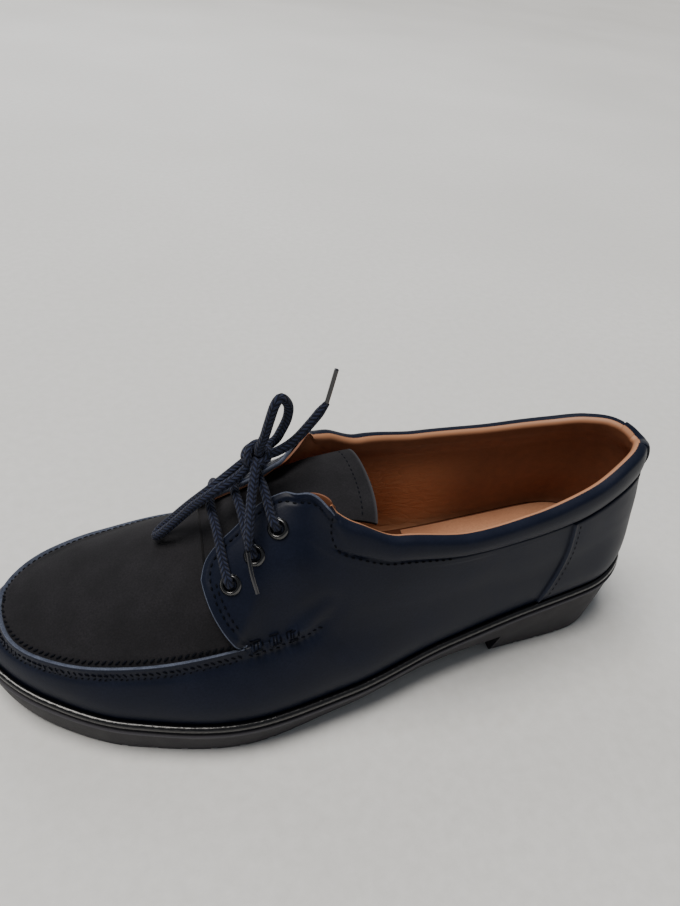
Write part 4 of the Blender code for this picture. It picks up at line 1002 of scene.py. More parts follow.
# The upper
@dataclass
class Upper:
    """Vamp and quarters in one skin, the apron, the edges, the lining and the stitching."""

    vamp_ribs: int = 100
    wall_rows: int = 26
    skin_depth: float = 0.0012
    tack_places: tuple[float, ...] = (-0.0345, -0.0282, -0.0222)
    stitch_pitch: float = 0.0026
    seam_pitch: float = 0.0023
    quarter_start: float = 0.4101
    facing_end: float = 0.5235
    roll_start: float = 0.5205
    crest_pull: float = 4.0
    crest_rows: int = 7
    cove: float = 0.0012
    crease: tuple[tuple[float, float, float], ...] = ((-0.0196, -0.0335, 0.0475),
                                                      (-0.0105, -0.0330, 0.0545))

    def __post_init__(self) -> None:
        """Settle the ribs and rows of the fine surface, closer where its shape turns."""
        self.tracks = np.concatenate([
            np.linspace(0, LAST.lap_track, self.vamp_ribs),
            np.linspace(0.4114, 0.53, 110), np.linspace(0.533, 0.70, 55),
            np.linspace(0.703, 0.7095, 4), np.linspace(0.711, 0.7175, 9),
            np.linspace(0.72, 0.9, 44), np.linspace(0.905, 0.946, 15),
            np.linspace(0.9475, 0.9505, 4), np.linspace(0.953, 1.0, 18)])
        self.walls = np.concatenate([np.linspace(0, 0.86, self.wall_rows - 8, endpoint=False),
                                     np.linspace(0.86, 1.0, 8)])
        self.tops = np.concatenate([[0.0, 0.012, 0.025, 0.045], np.linspace(0.07, 0.62, 26),
                                    np.linspace(0.635, 0.70, 8), np.linspace(0.72, 1.0, 18)])

    def side_points(self, side: int) -> tuple[Array, Array, Array]:
        """Fine points of one side.

        Args:
            side: Outer or inner side.

        Returns:
            The wall's points for every rib, the quarter's above it, and the apron's.
        """
        rows = np.linspace(0, 1, 26)
        crowns = np.linspace(0, 1, 14)[1:]
        walls, quarters, aprons = [], [], []
        for track in self.tracks:
            if track <= LAST.lap_track:
                wall, top = LAST.vamp_rib(float(track), side, self.walls, rows, crowns)
                aprons.append(top)
            else:
                wall, top = LAST.quarter_rib(float(track), side, self.walls, self.tops)
                quarters.append(top)
            foot = wall[:1].copy()
            foot[0, 2] -= LAST.welt_rise + LAST.deck_drop - 0.0003
            walls.append(np.vstack([foot, wall]))
        return np.array(walls), np.array(quarters), np.array(aprons)

    def build(self) -> None:
        """Make every piece of the upper."""
        outer = self.side_points(OUTER)
        inner = self.side_points(INNER)
        self.make_skin(outer, inner)
        self.make_apron(outer[2], inner[2])
        self.make_edges()
        self.make_lining()
        self.make_stitching()

    def make_skin(self, outer: tuple[Array, ...], inner: tuple[Array, ...]) -> None:
        """The navy leather: walls all round, and quarters with facings and collar."""
        total, span = len(self.tracks), len(self.tracks) - self.vamp_ribs
        wall = np.concatenate([outer[0][::-1], inner[0][1:-1]])
        self.ring_tracks = np.concatenate([self.tracks[::-1], self.tracks[1:-1]])
        ring_side = np.concatenate([np.full(total, OUTER), np.full(total - 2, INNER)])
        self.seam_ring = np.where(self.ring_tracks <= LAST.lap_track)[0]
        count, rows = wall.shape[:2]
        self.index_wall = np.arange(count * rows).reshape(count, rows)
        self.order = list(range(count - span + 1, count)) + list(range(span))
        above = np.concatenate([inner[1][:span - 1], outer[1][::-1]])
        added = above[:, 1:].reshape(-1, 3)
        self.grid = np.zeros(above.shape[:2], int)
        self.grid[:, 0] = self.index_wall[self.order, -1]
        self.grid[:, 1:] = count * rows + np.arange(len(added)).reshape(len(above), -1)
        faces = grid_faces(count, rows, closed=True, flip=True) + index_faces(self.grid)
        points = self.eased(np.vstack([wall.reshape(-1, 3), added]), self.index_wall, self.grid)
        self.track, self.side, self.share, self.travel = (np.zeros(len(points)) for _ in range(4))
        self.below = np.full(len(points), 1.0)
        seam_travel = arc_length(wall[:, -1])
        for numbers, k in [*zip(self.index_wall, range(count)), *zip(self.grid, self.order)]:
            self.track[numbers] = self.ring_tracks[k]
            self.side[numbers] = ring_side[k]
            self.travel[numbers] = seam_travel[k]
        for numbers, rib in zip(self.index_wall, wall):
            self.below[numbers] = arc_length(rib)[-1] - arc_length(rib)
        for numbers in self.grid:
            self.share[numbers] = self.tops
            self.below[numbers] = -arc_length(points[numbers])
        self.base = Surface(points, faces)
        self.base_normals = self.base.normals()
        relief = self.relief()
        relief[self.index_wall[:, :2]] = 0.0
        relief -= self.facing_groove()
        self.outer = Surface(points + self.base_normals * relief[:, None], faces,
                             {"edge": self.wear()})
        self.tree = self.outer.tree()
        skin = self.with_crest()
        make_piece("upper_skin", skin.thickened(self.skin_depth), NAVY, ["upper"])

    def eased(self, points: Array, walls: Array, grid: Array) -> Array:
        """The leather drawn smooth where the pattern's sections change quickly.

        Args:
            points: Points of the skin.
            walls: Point numbers of the wall, by rib and row.
            grid: Point numbers of the part above, by rib and row.

        Returns:
            The points, with the stretch behind the facing and the one at its foot smoothed.
        """
        points = points.copy()
        share = 1 - smoothstep(0.80, 0.98, self.tops)
        share[0] = 0.0
        tracks = self.ring_tracks[walls[:, 0] // walls.shape[1]]
        above = tracks[grid[:, 0] // walls.shape[1]]
        behind = smoothstep(0.480, 0.495, above) * (1 - smoothstep(0.525, 0.545, above))
        foot = smoothstep(0.380, 0.400, tracks) * (1 - smoothstep(0.425, 0.445, tracks))
        low = np.concatenate([[0.0, 0.0], 1 - smoothstep(0.80, 0.98, self.walls[1:])])
        for numbers, along, across, times in ((grid, behind, share, 90), (walls, foot, low, 40)):
            weight = along[1:-1, None, None] * across[None, :, None]
            for _ in range(times):
                rows = points[numbers]
                between = (rows[:-2] + rows[2:]) / 2
                rows[1:-1] += (between - rows[1:-1]) * weight * 0.5
                points[numbers] = rows
        return points

    def relief(self) -> Array:
        """How far the skin stands off the last at each point."""
        t, share, below = self.track, self.share, self.below
        quarter = t > LAST.lap_track
        # The facing stands on the apron, and sinks back behind it
        above = np.where(quarter & (below <= 0), 1.0, 0.0)
        relief = above * LAST.soft_relief(np.maximum(t, self.quarter_start), share)
        # The moccasin seam: a ridge, puckers at each stitch and a hollow below
        seam = 1 - smoothstep(0.497, 0.512, t)
        ridge = np.where(below >= 0, bell(below, 0.0019), bell(below, 0.0012))
        relief += LAST.seam_ridge * np.where(quarter, 0.25, 1.0) * seam * ridge
        relief += self.blocks(t, below)
        band = smoothstep(0.0006, 0.0018, below) * (1 - smoothstep(0.0036, 0.0060, below))
        pucker = np.cos(math.tau * self.travel / self.seam_pitch)
        relief += 0.00022 * seam * band * pucker
        relief -= 0.00035 * seam * bell(below - 0.0042, 0.0011)
        # The collar: a padded roll over the groove of its seam
        roll = self.roll(t)
        line = LAST.collar_line(t)
        rise = np.clip((share - line) / (1 - line), 0, 1)
        puffed = np.sin(math.pi * (0.05 + 0.72 * rise)) ** 0.85
        relief += roll * np.where(share > line, LAST.collar_bulge * puffed, 0.0)
        relief -= 0.0006 * roll * bell(share - line, 0.018) * (share > 0)
        # The heel tab laps over the roll
        tab = smoothstep(0.9474, 0.9500, t) * smoothstep(0.62, 0.66, share)
        relief += 0.0009 * tab - 0.0004 * bell(t - 0.9462, 0.0016) * (share > 0.66)
        # The counter laps over the quarter, with a bead along its edge
        counter = smoothstep(LAST.counter_track - 0.0012, LAST.counter_track + 0.0004, t)
        under = np.where(below > 0, 1.0, 1 - smoothstep(0.63, 0.655, share))
        relief += LAST.counter_step * counter * under
        relief += 0.0004 * bell(t - LAST.counter_track - 0.0012, 0.0016) * under
        return relief + self.folds()

    def blocks(self, track: Array, below: Array) -> Array:
        """The three cushions of leather that the bar tacks draw up on the facing's lower edge."""
        x = self.base.points[:, 0]
        relief = np.zeros(len(x))
        for middle in self.tack_places:
            long = 1 - smoothstep(0.0011, 0.0022, np.abs(x - middle))
            wide = 1 - smoothstep(0.0012, 0.0026, np.abs(below - 0.0004))
            relief += 0.0010 * long * wide
        return relief * (track > LAST.lap_track - 0.01) * (track < 0.52)

    def roll(self, track: Array) -> Array:
        """How full the padded collar is at a track."""
        return smoothstep(self.roll_start, 0.531, track)

    def facing_edge(self, side: int) -> tuple[Array, int]:
        """Free edge of a facing, from the seam round its front and along its top.

        Args:
            side: Outer or inner side.

        Returns:
            Point numbers along the edge, and the number of a point well inside it.
        """
        last = self.grid[:, -1]
        mine = sorted(np.where(self.side[last] == side)[0], key=lambda a: self.track[last[a]])
        top = [last[a] for a in mine if self.track[last[a]] <= self.facing_end]
        return np.array([*self.grid[mine[0]], *top[1:]]), self.grid[mine[12], len(self.tops) // 2]

    def facing_groove(self) -> Array:
        """The dent that the stitching draws round a facing, and the edge's own thinning."""
        points = self.base.points
        depth = np.zeros(len(points))
        for side, _ in SIDES:
            fine = resample(points[self.facing_edge(side)[0]], 0.0006)
            near = np.where((self.side == side) & (self.track > LAST.lap_track)
                            & (self.track < 0.54) & (self.below <= 0.0))[0]
            gap = np.full(len(near), 1.0)
            for part in np.array_split(np.arange(len(near)), 40):
                away = points[near[part]][:, None] - fine[None]
                gap[part] = np.sqrt((away ** 2).sum(axis=2)).min(axis=1)
            depth[near] = (0.00035 * bell(gap - 0.0027, 0.0007)
                           - 0.00018 * bell(gap - 0.0014, 0.0008))
        return depth

    def folds(self) -> Array:
        """Soft folds and dents that the photograph shows in the leather."""
        p = self.base.points
        outer = self.side == OUTER
        start, end = np.array(self.crease)
        run = end - start
        share = np.clip(((p - start) @ run) / (run @ run), 0, 1)
        gap = np.linalg.norm(p - start - share[:, None] * run, axis=1)
        folds = (0.0007 * bell(gap, 0.0028) - 0.0005 * bell(gap - 0.0045, 0.003)) * outer
        wave = np.sin(p[:, 0] * 95 + p[:, 2] * 160) * np.sin(p[:, 0] * 43 - p[:, 2] * 71 + 1.3)
        calm = smoothstep(0.004, 0.012, np.abs(self.below)) * (self.share < 0.6)
        return folds + 0.00012 * wave * calm

    def wear(self) -> Array:
        """Where the leather shows pale on a turned or cut edge, 0 to 1."""
        t, share, below = self.track, self.share, self.below
        seam = 1 - smoothstep(0.497, 0.510, t)
        pale = 0.1 * seam * bell(below - 0.0001, 0.0004) * (below >= 0)
        counter = bell(t - LAST.counter_track - 0.0002, 0.0008)
        under = np.where(below > 0, 1.0, 1 - smoothstep(0.62, 0.65, share))
        return np.clip(pale + 0.4 * counter * under, 0, 1)

    def crest_arc(self, part: str) -> tuple[Array, Array]:
        """The round top of the collar, from the skin's top row over to the lining.

        Args:
            part: "skin" for the outer stretch, "lining" for the inner one.

        Returns:
            Points by column and row, and the columns of the quarter grid that have them.
        """
        top = self.grid[:, -1]
        collared = np.where(self.track[top] >= self.roll_start)[0]
        index = top[collared]
        start = self.outer.points[index]
        collar = self.roll(self.track[index])
        depth = self.lining_depth(self.track[index], np.ones(len(index)))
        end = self.base.points[index] - self.base_normals[index] * depth[:, None]
        below = self.outer.points[self.grid[collared, -3]]
        reach = self.crest_pull * (LAST.collar_crest * np.maximum(collar, 0.35) + 0.0003)
        leave = unit(start - below) * reach[:, None]
        arrive = np.zeros_like(leave)
        arrive[:, 2] = -reach
        first, last = (0.0, 0.60) if part == "skin" else (0.58, 1.0)
        rows = [hermite(start, end, leave, arrive, s)
                for s in np.linspace(first, last, self.crest_rows)]
        return np.stack(rows, axis=1), collared

    def with_crest(self) -> Surface:
        """The skin with its top turned over the collar's padding."""
        arc, columns = self.crest_arc("skin")
        base = len(self.outer.points)
        rows = arc.shape[1] - 1
        index = np.zeros((len(columns), rows + 1), int)
        index[:, 0] = self.grid[columns, -1]
        index[:, 1:] = base + np.arange(len(columns) * rows).reshape(len(columns), rows)
        breaks = np.where(np.diff(columns) != 1)[0] + 1
        faces = list(self.outer.faces)
        for part in np.split(index, breaks):
            faces += index_faces(part)
        points = np.vstack([self.outer.points, arc[:, 1:].reshape(-1, 3)])
        edge = np.concatenate([self.outer.marks["edge"], np.zeros(len(columns) * rows)])
        return Surface(points, faces, {"edge": edge})

    @staticmethod
    def lining_depth(track: Array, share: Array) -> Array:
        """How deep the lining lies under the last's surface."""
        facing = smoothstep(0.12, 0.3, share)
        collar = LAST.at("collar", track) * smoothstep(0.55, 0.9, share)
        on_crown = LAST.at("on_crown", track)
        depth = LAST.lining_depth + (LAST.facing_thickness - LAST.lining_depth) * facing * on_crown
        depth = depth - LAST.facing_relief(track, share) * facing
        return depth + (LAST.collar_thickness - LAST.lining_depth) * collar

    def make_apron(self, outer: Array, inner: Array) -> None:
        """The nubuck apron over the toes, from the seam up to the throat."""
        columns = np.concatenate([outer[::-1], inner[1:]])
        count, rows = columns.shape[:2]
        surface = Surface(columns.reshape(-1, 3), grid_faces(count, rows, flip=True))
        travel = np.array([arc_length(c) for c in columns])
        relief = 0.0004 * bell(travel - 0.0030, 0.0020) - 0.0002 * bell(travel, 0.001)
        p = surface.points
        swell = np.sin(p[:, 0] * 60 + 0.7) * np.sin(p[:, 1] * 75 + 1.1) * 0.00022
        relief = relief.reshape(-1) + swell * smoothstep(0.004, 0.012, travel).reshape(-1)
        made = surface.moved(relief)
        self.apron_tree = made.tree()
        self.apron_columns = made.points.reshape(count, rows, 3)
        make_piece("apron", made.thickened(0.0012), NUBUCK)

    def boundary(self, side: int) -> tuple[Array, Array, Array]:
        """Free edge of a facing, from the seam round its front and along its top.

        Args:
            side: Outer or inner side.

        Returns:
            The edge's points, the outward normals and the directions off the leather.
        """
        index, inside = self.facing_edge(side)
        points = self.outer.points[index]
        normals = self.outer.normals()[index]
        run = unit(np.gradient(points, axis=0))
        off = unit(np.cross(run, normals)) * side
        middle = len(self.tops) // 2
        if np.dot(off[middle], self.outer.points[inside] - points[middle]) > 0:
            off = -off
        for _ in range(4):
            off[1:-1] = unit(off[:-2] + off[1:-1] * 2 + off[2:])
        return points, normals, off

    def make_edges(self) -> None:
        """The pale cut edges of the facings and of the moccasin seam."""
        self.facing_paths = {}
        for side, word in SIDES:
            points, normals, off = self.boundary(side)
            self.facing_paths[side] = (points, off)
            share = arc_length(points) / arc_length(points)[-1]
            drop = np.interp(share, (0.0, 0.3, 0.75, 1.0), (0.0010, 0.0020, 0.0018, 0.0006))
            profile = ((0.0, -0.00005), (0.00030, -0.00010), (0.00048, -0.00045),
                       (0.00050, -0.0013), (0.0001, -0.0022), (-0.0015, -0.0020),
                       (-0.0012, -0.0003))
            deep = (drop / 0.0024)[:, None]
            make_strip("facing_edge_" + word, [
                points + off * a + normals * (b * deep if b < -0.0002 else b) for a, b in profile])
        self.make_seam_lip()

    def make_seam_lip(self) -> None:
        """The thin cut edge of the vamp that stands up along the moccasin seam."""
        index = self.index_wall[self.seam_ring, -1]
        points, normals = self.outer.points[index], self.base_normals[index]
        towards = unit(self.apron_columns[:, 3] - self.apron_columns[:, 0])
        profile = ((-0.00005, -0.0001), (0.00003, 0.00008), (0.0002, 0.00012), (0.00034, 0.00003),
                   (0.0004, -0.0006), (0.0004, -0.0016), (0.0, -0.0016))
        make_strip("moccasin_seam_edge", [points + towards * a + normals * b for a, b in profile])

    def make_lining(self) -> None:
        """The tan lining of the quarters and collar, down to the insole."""
        arc, columns = self.crest_arc("lining")
        collared = {int(c): k for k, c in enumerate(columns)}
        grid = []
        for a, k in enumerate(self.order):
            low = self.index_wall[k, 1:-1]
            index = np.concatenate([low, self.grid[a]])
            share = np.concatenate([np.zeros(len(low)), self.tops])
            track = np.full(len(index), max(self.track[index[-1]], self.quarter_start))
            depth = self.lining_depth(track, share)
            inner = self.base.points[index] - self.base_normals[index] * depth[:, None]
            top = arc[collared[a]] if a in collared else np.repeat(inner[-1:], arc.shape[1], axis=0)
            cove = inner[:1] + self.cove * unit(np.array([-inner[0][0], -inner[0][1], 0.0]))
            cove[0, 2] -= self.cove
            grid.append(np.vstack([cove, inner[:-1], top[::-1]]))
        grid = np.array(grid)
        count, rows = grid.shape[:2]
        surface = Surface(grid.reshape(-1, 3), grid_faces(count, rows))
        pale = np.zeros((count, rows))
        pale[:, -self.crest_rows:] = np.linspace(0.25, 0.9, self.crest_rows)
        pale[[a for a in range(count) if a not in collared], :-1] *= 0.3
        # The drawn mark sets the depth of the wrinkles and paints the low front part of the lining
        # paler: painted light from above
        x, z = surface.points[:, 0], surface.points[:, 2]
        low = 1 - smoothstep(0.050, 0.070, z)
        surface.marks = {"edge": pale.reshape(-1),
                         "drawn": 0.12 + 0.88 * low * (1 - smoothstep(0.035, 0.075, x))}
        make_piece("lining", surface.cleaned().thickened(0.0007), LINING)
        self.make_toe_lining()

    def make_toe_lining(self) -> None:
        """The dark lining under the vamp and apron, seen only through the throat."""
        columns = []
        for a, k in enumerate(self.seam_ring):
            wall = self.index_wall[k, 1:]
            low = self.base.points[wall] - self.base_normals[wall] * LAST.lining_depth
            inner = self.apron_columns[a, 3:-6] - np.array([0, 0, LAST.lining_depth])
            columns.append(np.vstack([low, inner]))
        columns = np.array(columns)
        surface = Surface(columns.reshape(-1, 3), grid_faces(*columns.shape[:2]))
        make_piece("toe_lining", surface.thickened(0.0006), LINING)

    def offset_path(self, side: int, distance: float, first: float, last: float) -> Array:
        """A path at a distance inside a facing's edge.

        Args:
            side: Outer or inner side.
            distance: How far inside the edge.
            first: Share of the edge where it starts.
            last: Share of the edge where it ends.

        Returns:
            Points near the leather.
        """
        points, off = self.facing_paths[side]
        travel = arc_length(points) / arc_length(points)[-1]
        keep = (travel >= first) & (travel <= last)
        return points[keep] - off[keep] * distance

    def surface_path(self, side: int, route: Sequence[tuple[float, float]]) -> Array:
        """A path on the quarter through places given by track and share."""
        ends = np.array(route, float)
        fine = np.linspace(0, len(ends) - 1, 60)
        places = zip(*(np.interp(fine, np.arange(len(ends)), ends[:, k]) for k in range(2)))
        return np.array([LAST.quarter_rib(float(track), side, np.array([1.0]),
                                          np.array([0.0, share]))[1][1]
                         for track, share in places])

    def sew(self, row: StitchRow, path: Array, pitch: float, lift: float = LIFT,
            lean: float = 0.0, start: float = 0.5, tree: BVHTree | None = None) -> None:
        """Lay a row of stitches along a path.

        Args:
            row: The stitches.
            path: Points near the leather.
            pitch: Distance from one stitch to the next.
            lift: How far the thread stands off the leather.
            lean: Angle in degrees between a stitch and the path.
            start: Share of the pitch before the first stitch.
            tree: The surface, where it isn't the navy skin.
        """
        surface = self.tree if tree is None else tree
        laid, normals = lay_on(surface, resample(path, pitch, start), lift)
        run = unit(np.gradient(laid, axis=0))
        angle = math.radians(lean)
        along = run * math.cos(angle) + np.cross(normals, run) * math.sin(angle)
        row.make(laid, along, normals)

    def make_stitching(self) -> None:
        """Every row of stitches on the upper."""
        fine = (1.5, 0.7, 0.5)
        collar = [(0.5225, 0.985), (0.5225, 0.80), (0.529, 0.71), (0.545, 0.695), (0.60, 0.70)]
        counter = LAST.counter_track + 0.0105
        for side, word in SIDES:
            low = LAST.quarter_rib(counter, side, np.linspace(0.16, 0.98, 14), np.array([0.0]))[0]
            high = self.surface_path(side, [(counter, 0.0), (counter, 0.58)])
            tab = self.surface_path(side, [(0.953, 0.70), (0.953, 0.97)])
            lap = self.surface_path(side, [(0.4125, 0.0), (0.512, 0.0)])
            for name, size, path, pitch, lift in (
                    ("facing", fine, self.offset_path(side, 0.0027, 0.10, 0.97),
                     self.stitch_pitch, LIFT),
                    ("facing_inner", fine, self.offset_path(side, 0.0045, 0.10, 0.30),
                     self.stitch_pitch, LIFT),
                    ("collar", fine, self.surface_path(side, collar), self.stitch_pitch, LIFT),
                    ("tab", (1.5, 0.6, 0.45), tab, 0.0021, LIFT),
                    ("counter", (1.5, 0.5, 0.3), np.vstack([low, high]), self.stitch_pitch, 0.0)):
                self.sew(StitchRow(f"{name}_stitches_{word}", *size), path, pitch, lift)
            self.make_bar_tacks(side, word)
            self.sew(StitchRow("lap_stitches_" + word, 1.9, 0.6, 0.45),
                     lap - np.array([0.0, 0.0, 0.0030]), self.seam_pitch, LIFT, -35.0)
        self.make_seam_stitches()

    def make_seam_stitches(self) -> None:
        """Angled stitches on both sides of the moccasin seam."""
        seam = self.outer.points[self.index_wall[self.seam_ring, -1]]
        down = unit(self.outer.points[self.index_wall[self.seam_ring, -5]] - seam)
        across = unit(self.apron_columns[:, 4] - self.apron_columns[:, 0])
        self.sew(StitchRow("apron_whip_stitches", 2.3, 0.75, 0.7), seam + across * 0.0021,
                 self.seam_pitch, LIFT, 38.0, tree=self.apron_tree)
        self.sew(StitchRow("vamp_zigzag_stitches", 2.0, 0.7, 0.5), seam + down * 0.0026,
                 self.seam_pitch, LIFT, -40.0)
        self.sew(StitchRow("vamp_lower_stitches", 1.1, 0.6, 0.4), seam + down * 0.0044,
                 self.seam_pitch, 0.0, 30.0, 0.9)

    def make_bar_tacks(self, side: int, word: str) -> None:
        """Blocks of dense whip stitches that hold the facing down on the vamp."""
        route = self.surface_path(side, [(0.4135, 0.0), (0.520, 0.0)])
        places, along, outward = [], [], []
        for middle in self.tack_places:
            for strand in np.linspace(-0.0015, 0.0015, 4):
                at, ahead = (np.array([np.interp(x, route[:, 0], route[:, k]) for k in range(3)])
                             for x in (middle + strand, middle + strand + 0.001))
                laid, normal = lay_on(self.tree, [at])
                run = unit(ahead - at)
                cross = unit(np.cross(normal[0], run))
                threads = [(0.0, cross + run * 0.2)]
                if abs(strand) <= 0.001:
                    threads += [(0.0019, run), (-0.0019, run)]
                for step, way in threads:
                    moved, up = lay_on(self.tree, [laid[0] + cross * step], 2 * LIFT)
                    places.append(moved[0])
                    along.append(unit(way))
                    outward.append(up[0])
        StitchRow("bar_tacks_" + word, 2.6, 0.55, 0.7).make(
            np.array(places), np.array(along), np.array(outward))


# Tongue and pads
@dataclass
class Tongue:
    """The nubuck tongue under the facings, with a stitched free end."""

    tuck: float = 0.0070
    end_place: float = 0.0351
    end_curve: float = 0.0021
    depth: float = 0.0017
    stitch_inset: float = 0.0046
    throat: float = 0.049

    def point(self, run: float, share: float, drop: float = 0.0) -> Array:
        """A point of the tongue at a run along it and a share across it."""
        front = float(LAST.at("turn_place", LAST.lap_track)) * LAST.length - self.tuck
        end = self.end_place * LAST.length
        half = float(LAST.at("tongue_half", run)) * LAST.half * abs(share)
        x = front + (end - self.end_curve * share * share - front) * run
        side = 1.0 if share >= 0 else -1.0
        at = LAST.place(x, half, side, LAST.crown(x, half), -LAST.apron_shift)
        at[2] -= drop
        return at

    def build(self) -> None:
        """Make the tongue and its stitches."""
        runs = np.linspace(0, 1, 60)
        shares = np.linspace(-1, 1, 41)
        drops = 0.0002 + 0.0020 * (1 - smoothstep(0.10, 0.30, runs))
        grid = np.array([[self.point(r, s, d) for s in shares] for r, d in zip(runs, drops)])
        edge = np.zeros(grid.shape[:2])
        edge[-1] = 0.6
        surface = Surface(grid.reshape(-1, 3), grid_faces(*grid.shape[:2]),
                          {"edge": edge.reshape(-1)})
        if surface.normals()[:, 2].mean() < 0:
            surface.faces = [f[::-1] for f in surface.faces]
        make_piece("tongue_leather", surface.thickened(self.depth), NUBUCK,
                   ["tongue"])
        span = self.end_place * LAST.length + self.throat
        run = 1 - self.stitch_inset / span
        row = np.array([self.point(run, s) for s in np.linspace(-0.93, 0.93, 40)])
        path, normals = lay_on(surface.tree(), resample(row, 0.0024), 0.0)
        along = unit(np.gradient(path, axis=0))
        StitchRow("tongue_stitches", 1.5, 0.6, 0.4).make(path, along, normals)


@dataclass
class Footbed:
    """Insole and heel sock, as they lie inside the shoe."""

    stations: int = 90
    insole_inset: float = 0.0057
    insole_top: float = 0.0025
    sock_inset: float = 0.0077
    sock_top: float = 0.0040
    sock_start: float = 0.60

    def pad(self, inset: float, bottom: float, top: float, first: float) -> Surface:
        """A pad that follows the deck, domed a little at its border."""
        tracks = np.linspace(first, 1, self.stations)
        shares = np.linspace(-1, 1, 25)
        points = []
        for layer in (top, bottom):
            for track in tracks:
                ends = [np.array(LAST.outline(track, side, inset)) for side in (OUTER, INNER)]
                for s in shares:
                    x, y = ends[0] + (ends[1] - ends[0]) * (s + 1) / 2
                    fall = 0.0006 * abs(s) ** 12 if layer == top else 0.0
                    z = float(LAST.rim_height(x)) - LAST.deck_drop + layer - fall
                    points.append((x, y, z))
        size = len(shares)
        count = len(tracks)
        upper = grid_faces(count, size)
        lower = [tuple(v + count * size for v in f[::-1]) for f in upper]
        ring = list(range(size)) + [k * size + size - 1 for k in range(1, count)]
        ring += [(count - 1) * size + j for j in range(size - 2, -1, -1)]
        ring += [k * size for k in range(count - 2, 0, -1)]
        under = count * size
        rim = [(a, b, b + under, a + under) for a, b in zip(ring, ring[1:] + ring[:1])]
        return Surface(np.array(points), upper + lower + rim)

    def build(self) -> None:
        """Make the insole and the sock."""
        insole = self.pad(self.insole_inset, 0.0003, self.insole_top, 0.004)
        make_piece("insole_leather", insole.cleaned(), LINING, ["insole"])
        sock = self.pad(self.sock_inset, 0.0028, self.sock_top, self.sock_start)
        make_piece("heel_sock", sock.cleaned(), SOCK, ["heel_pad"])


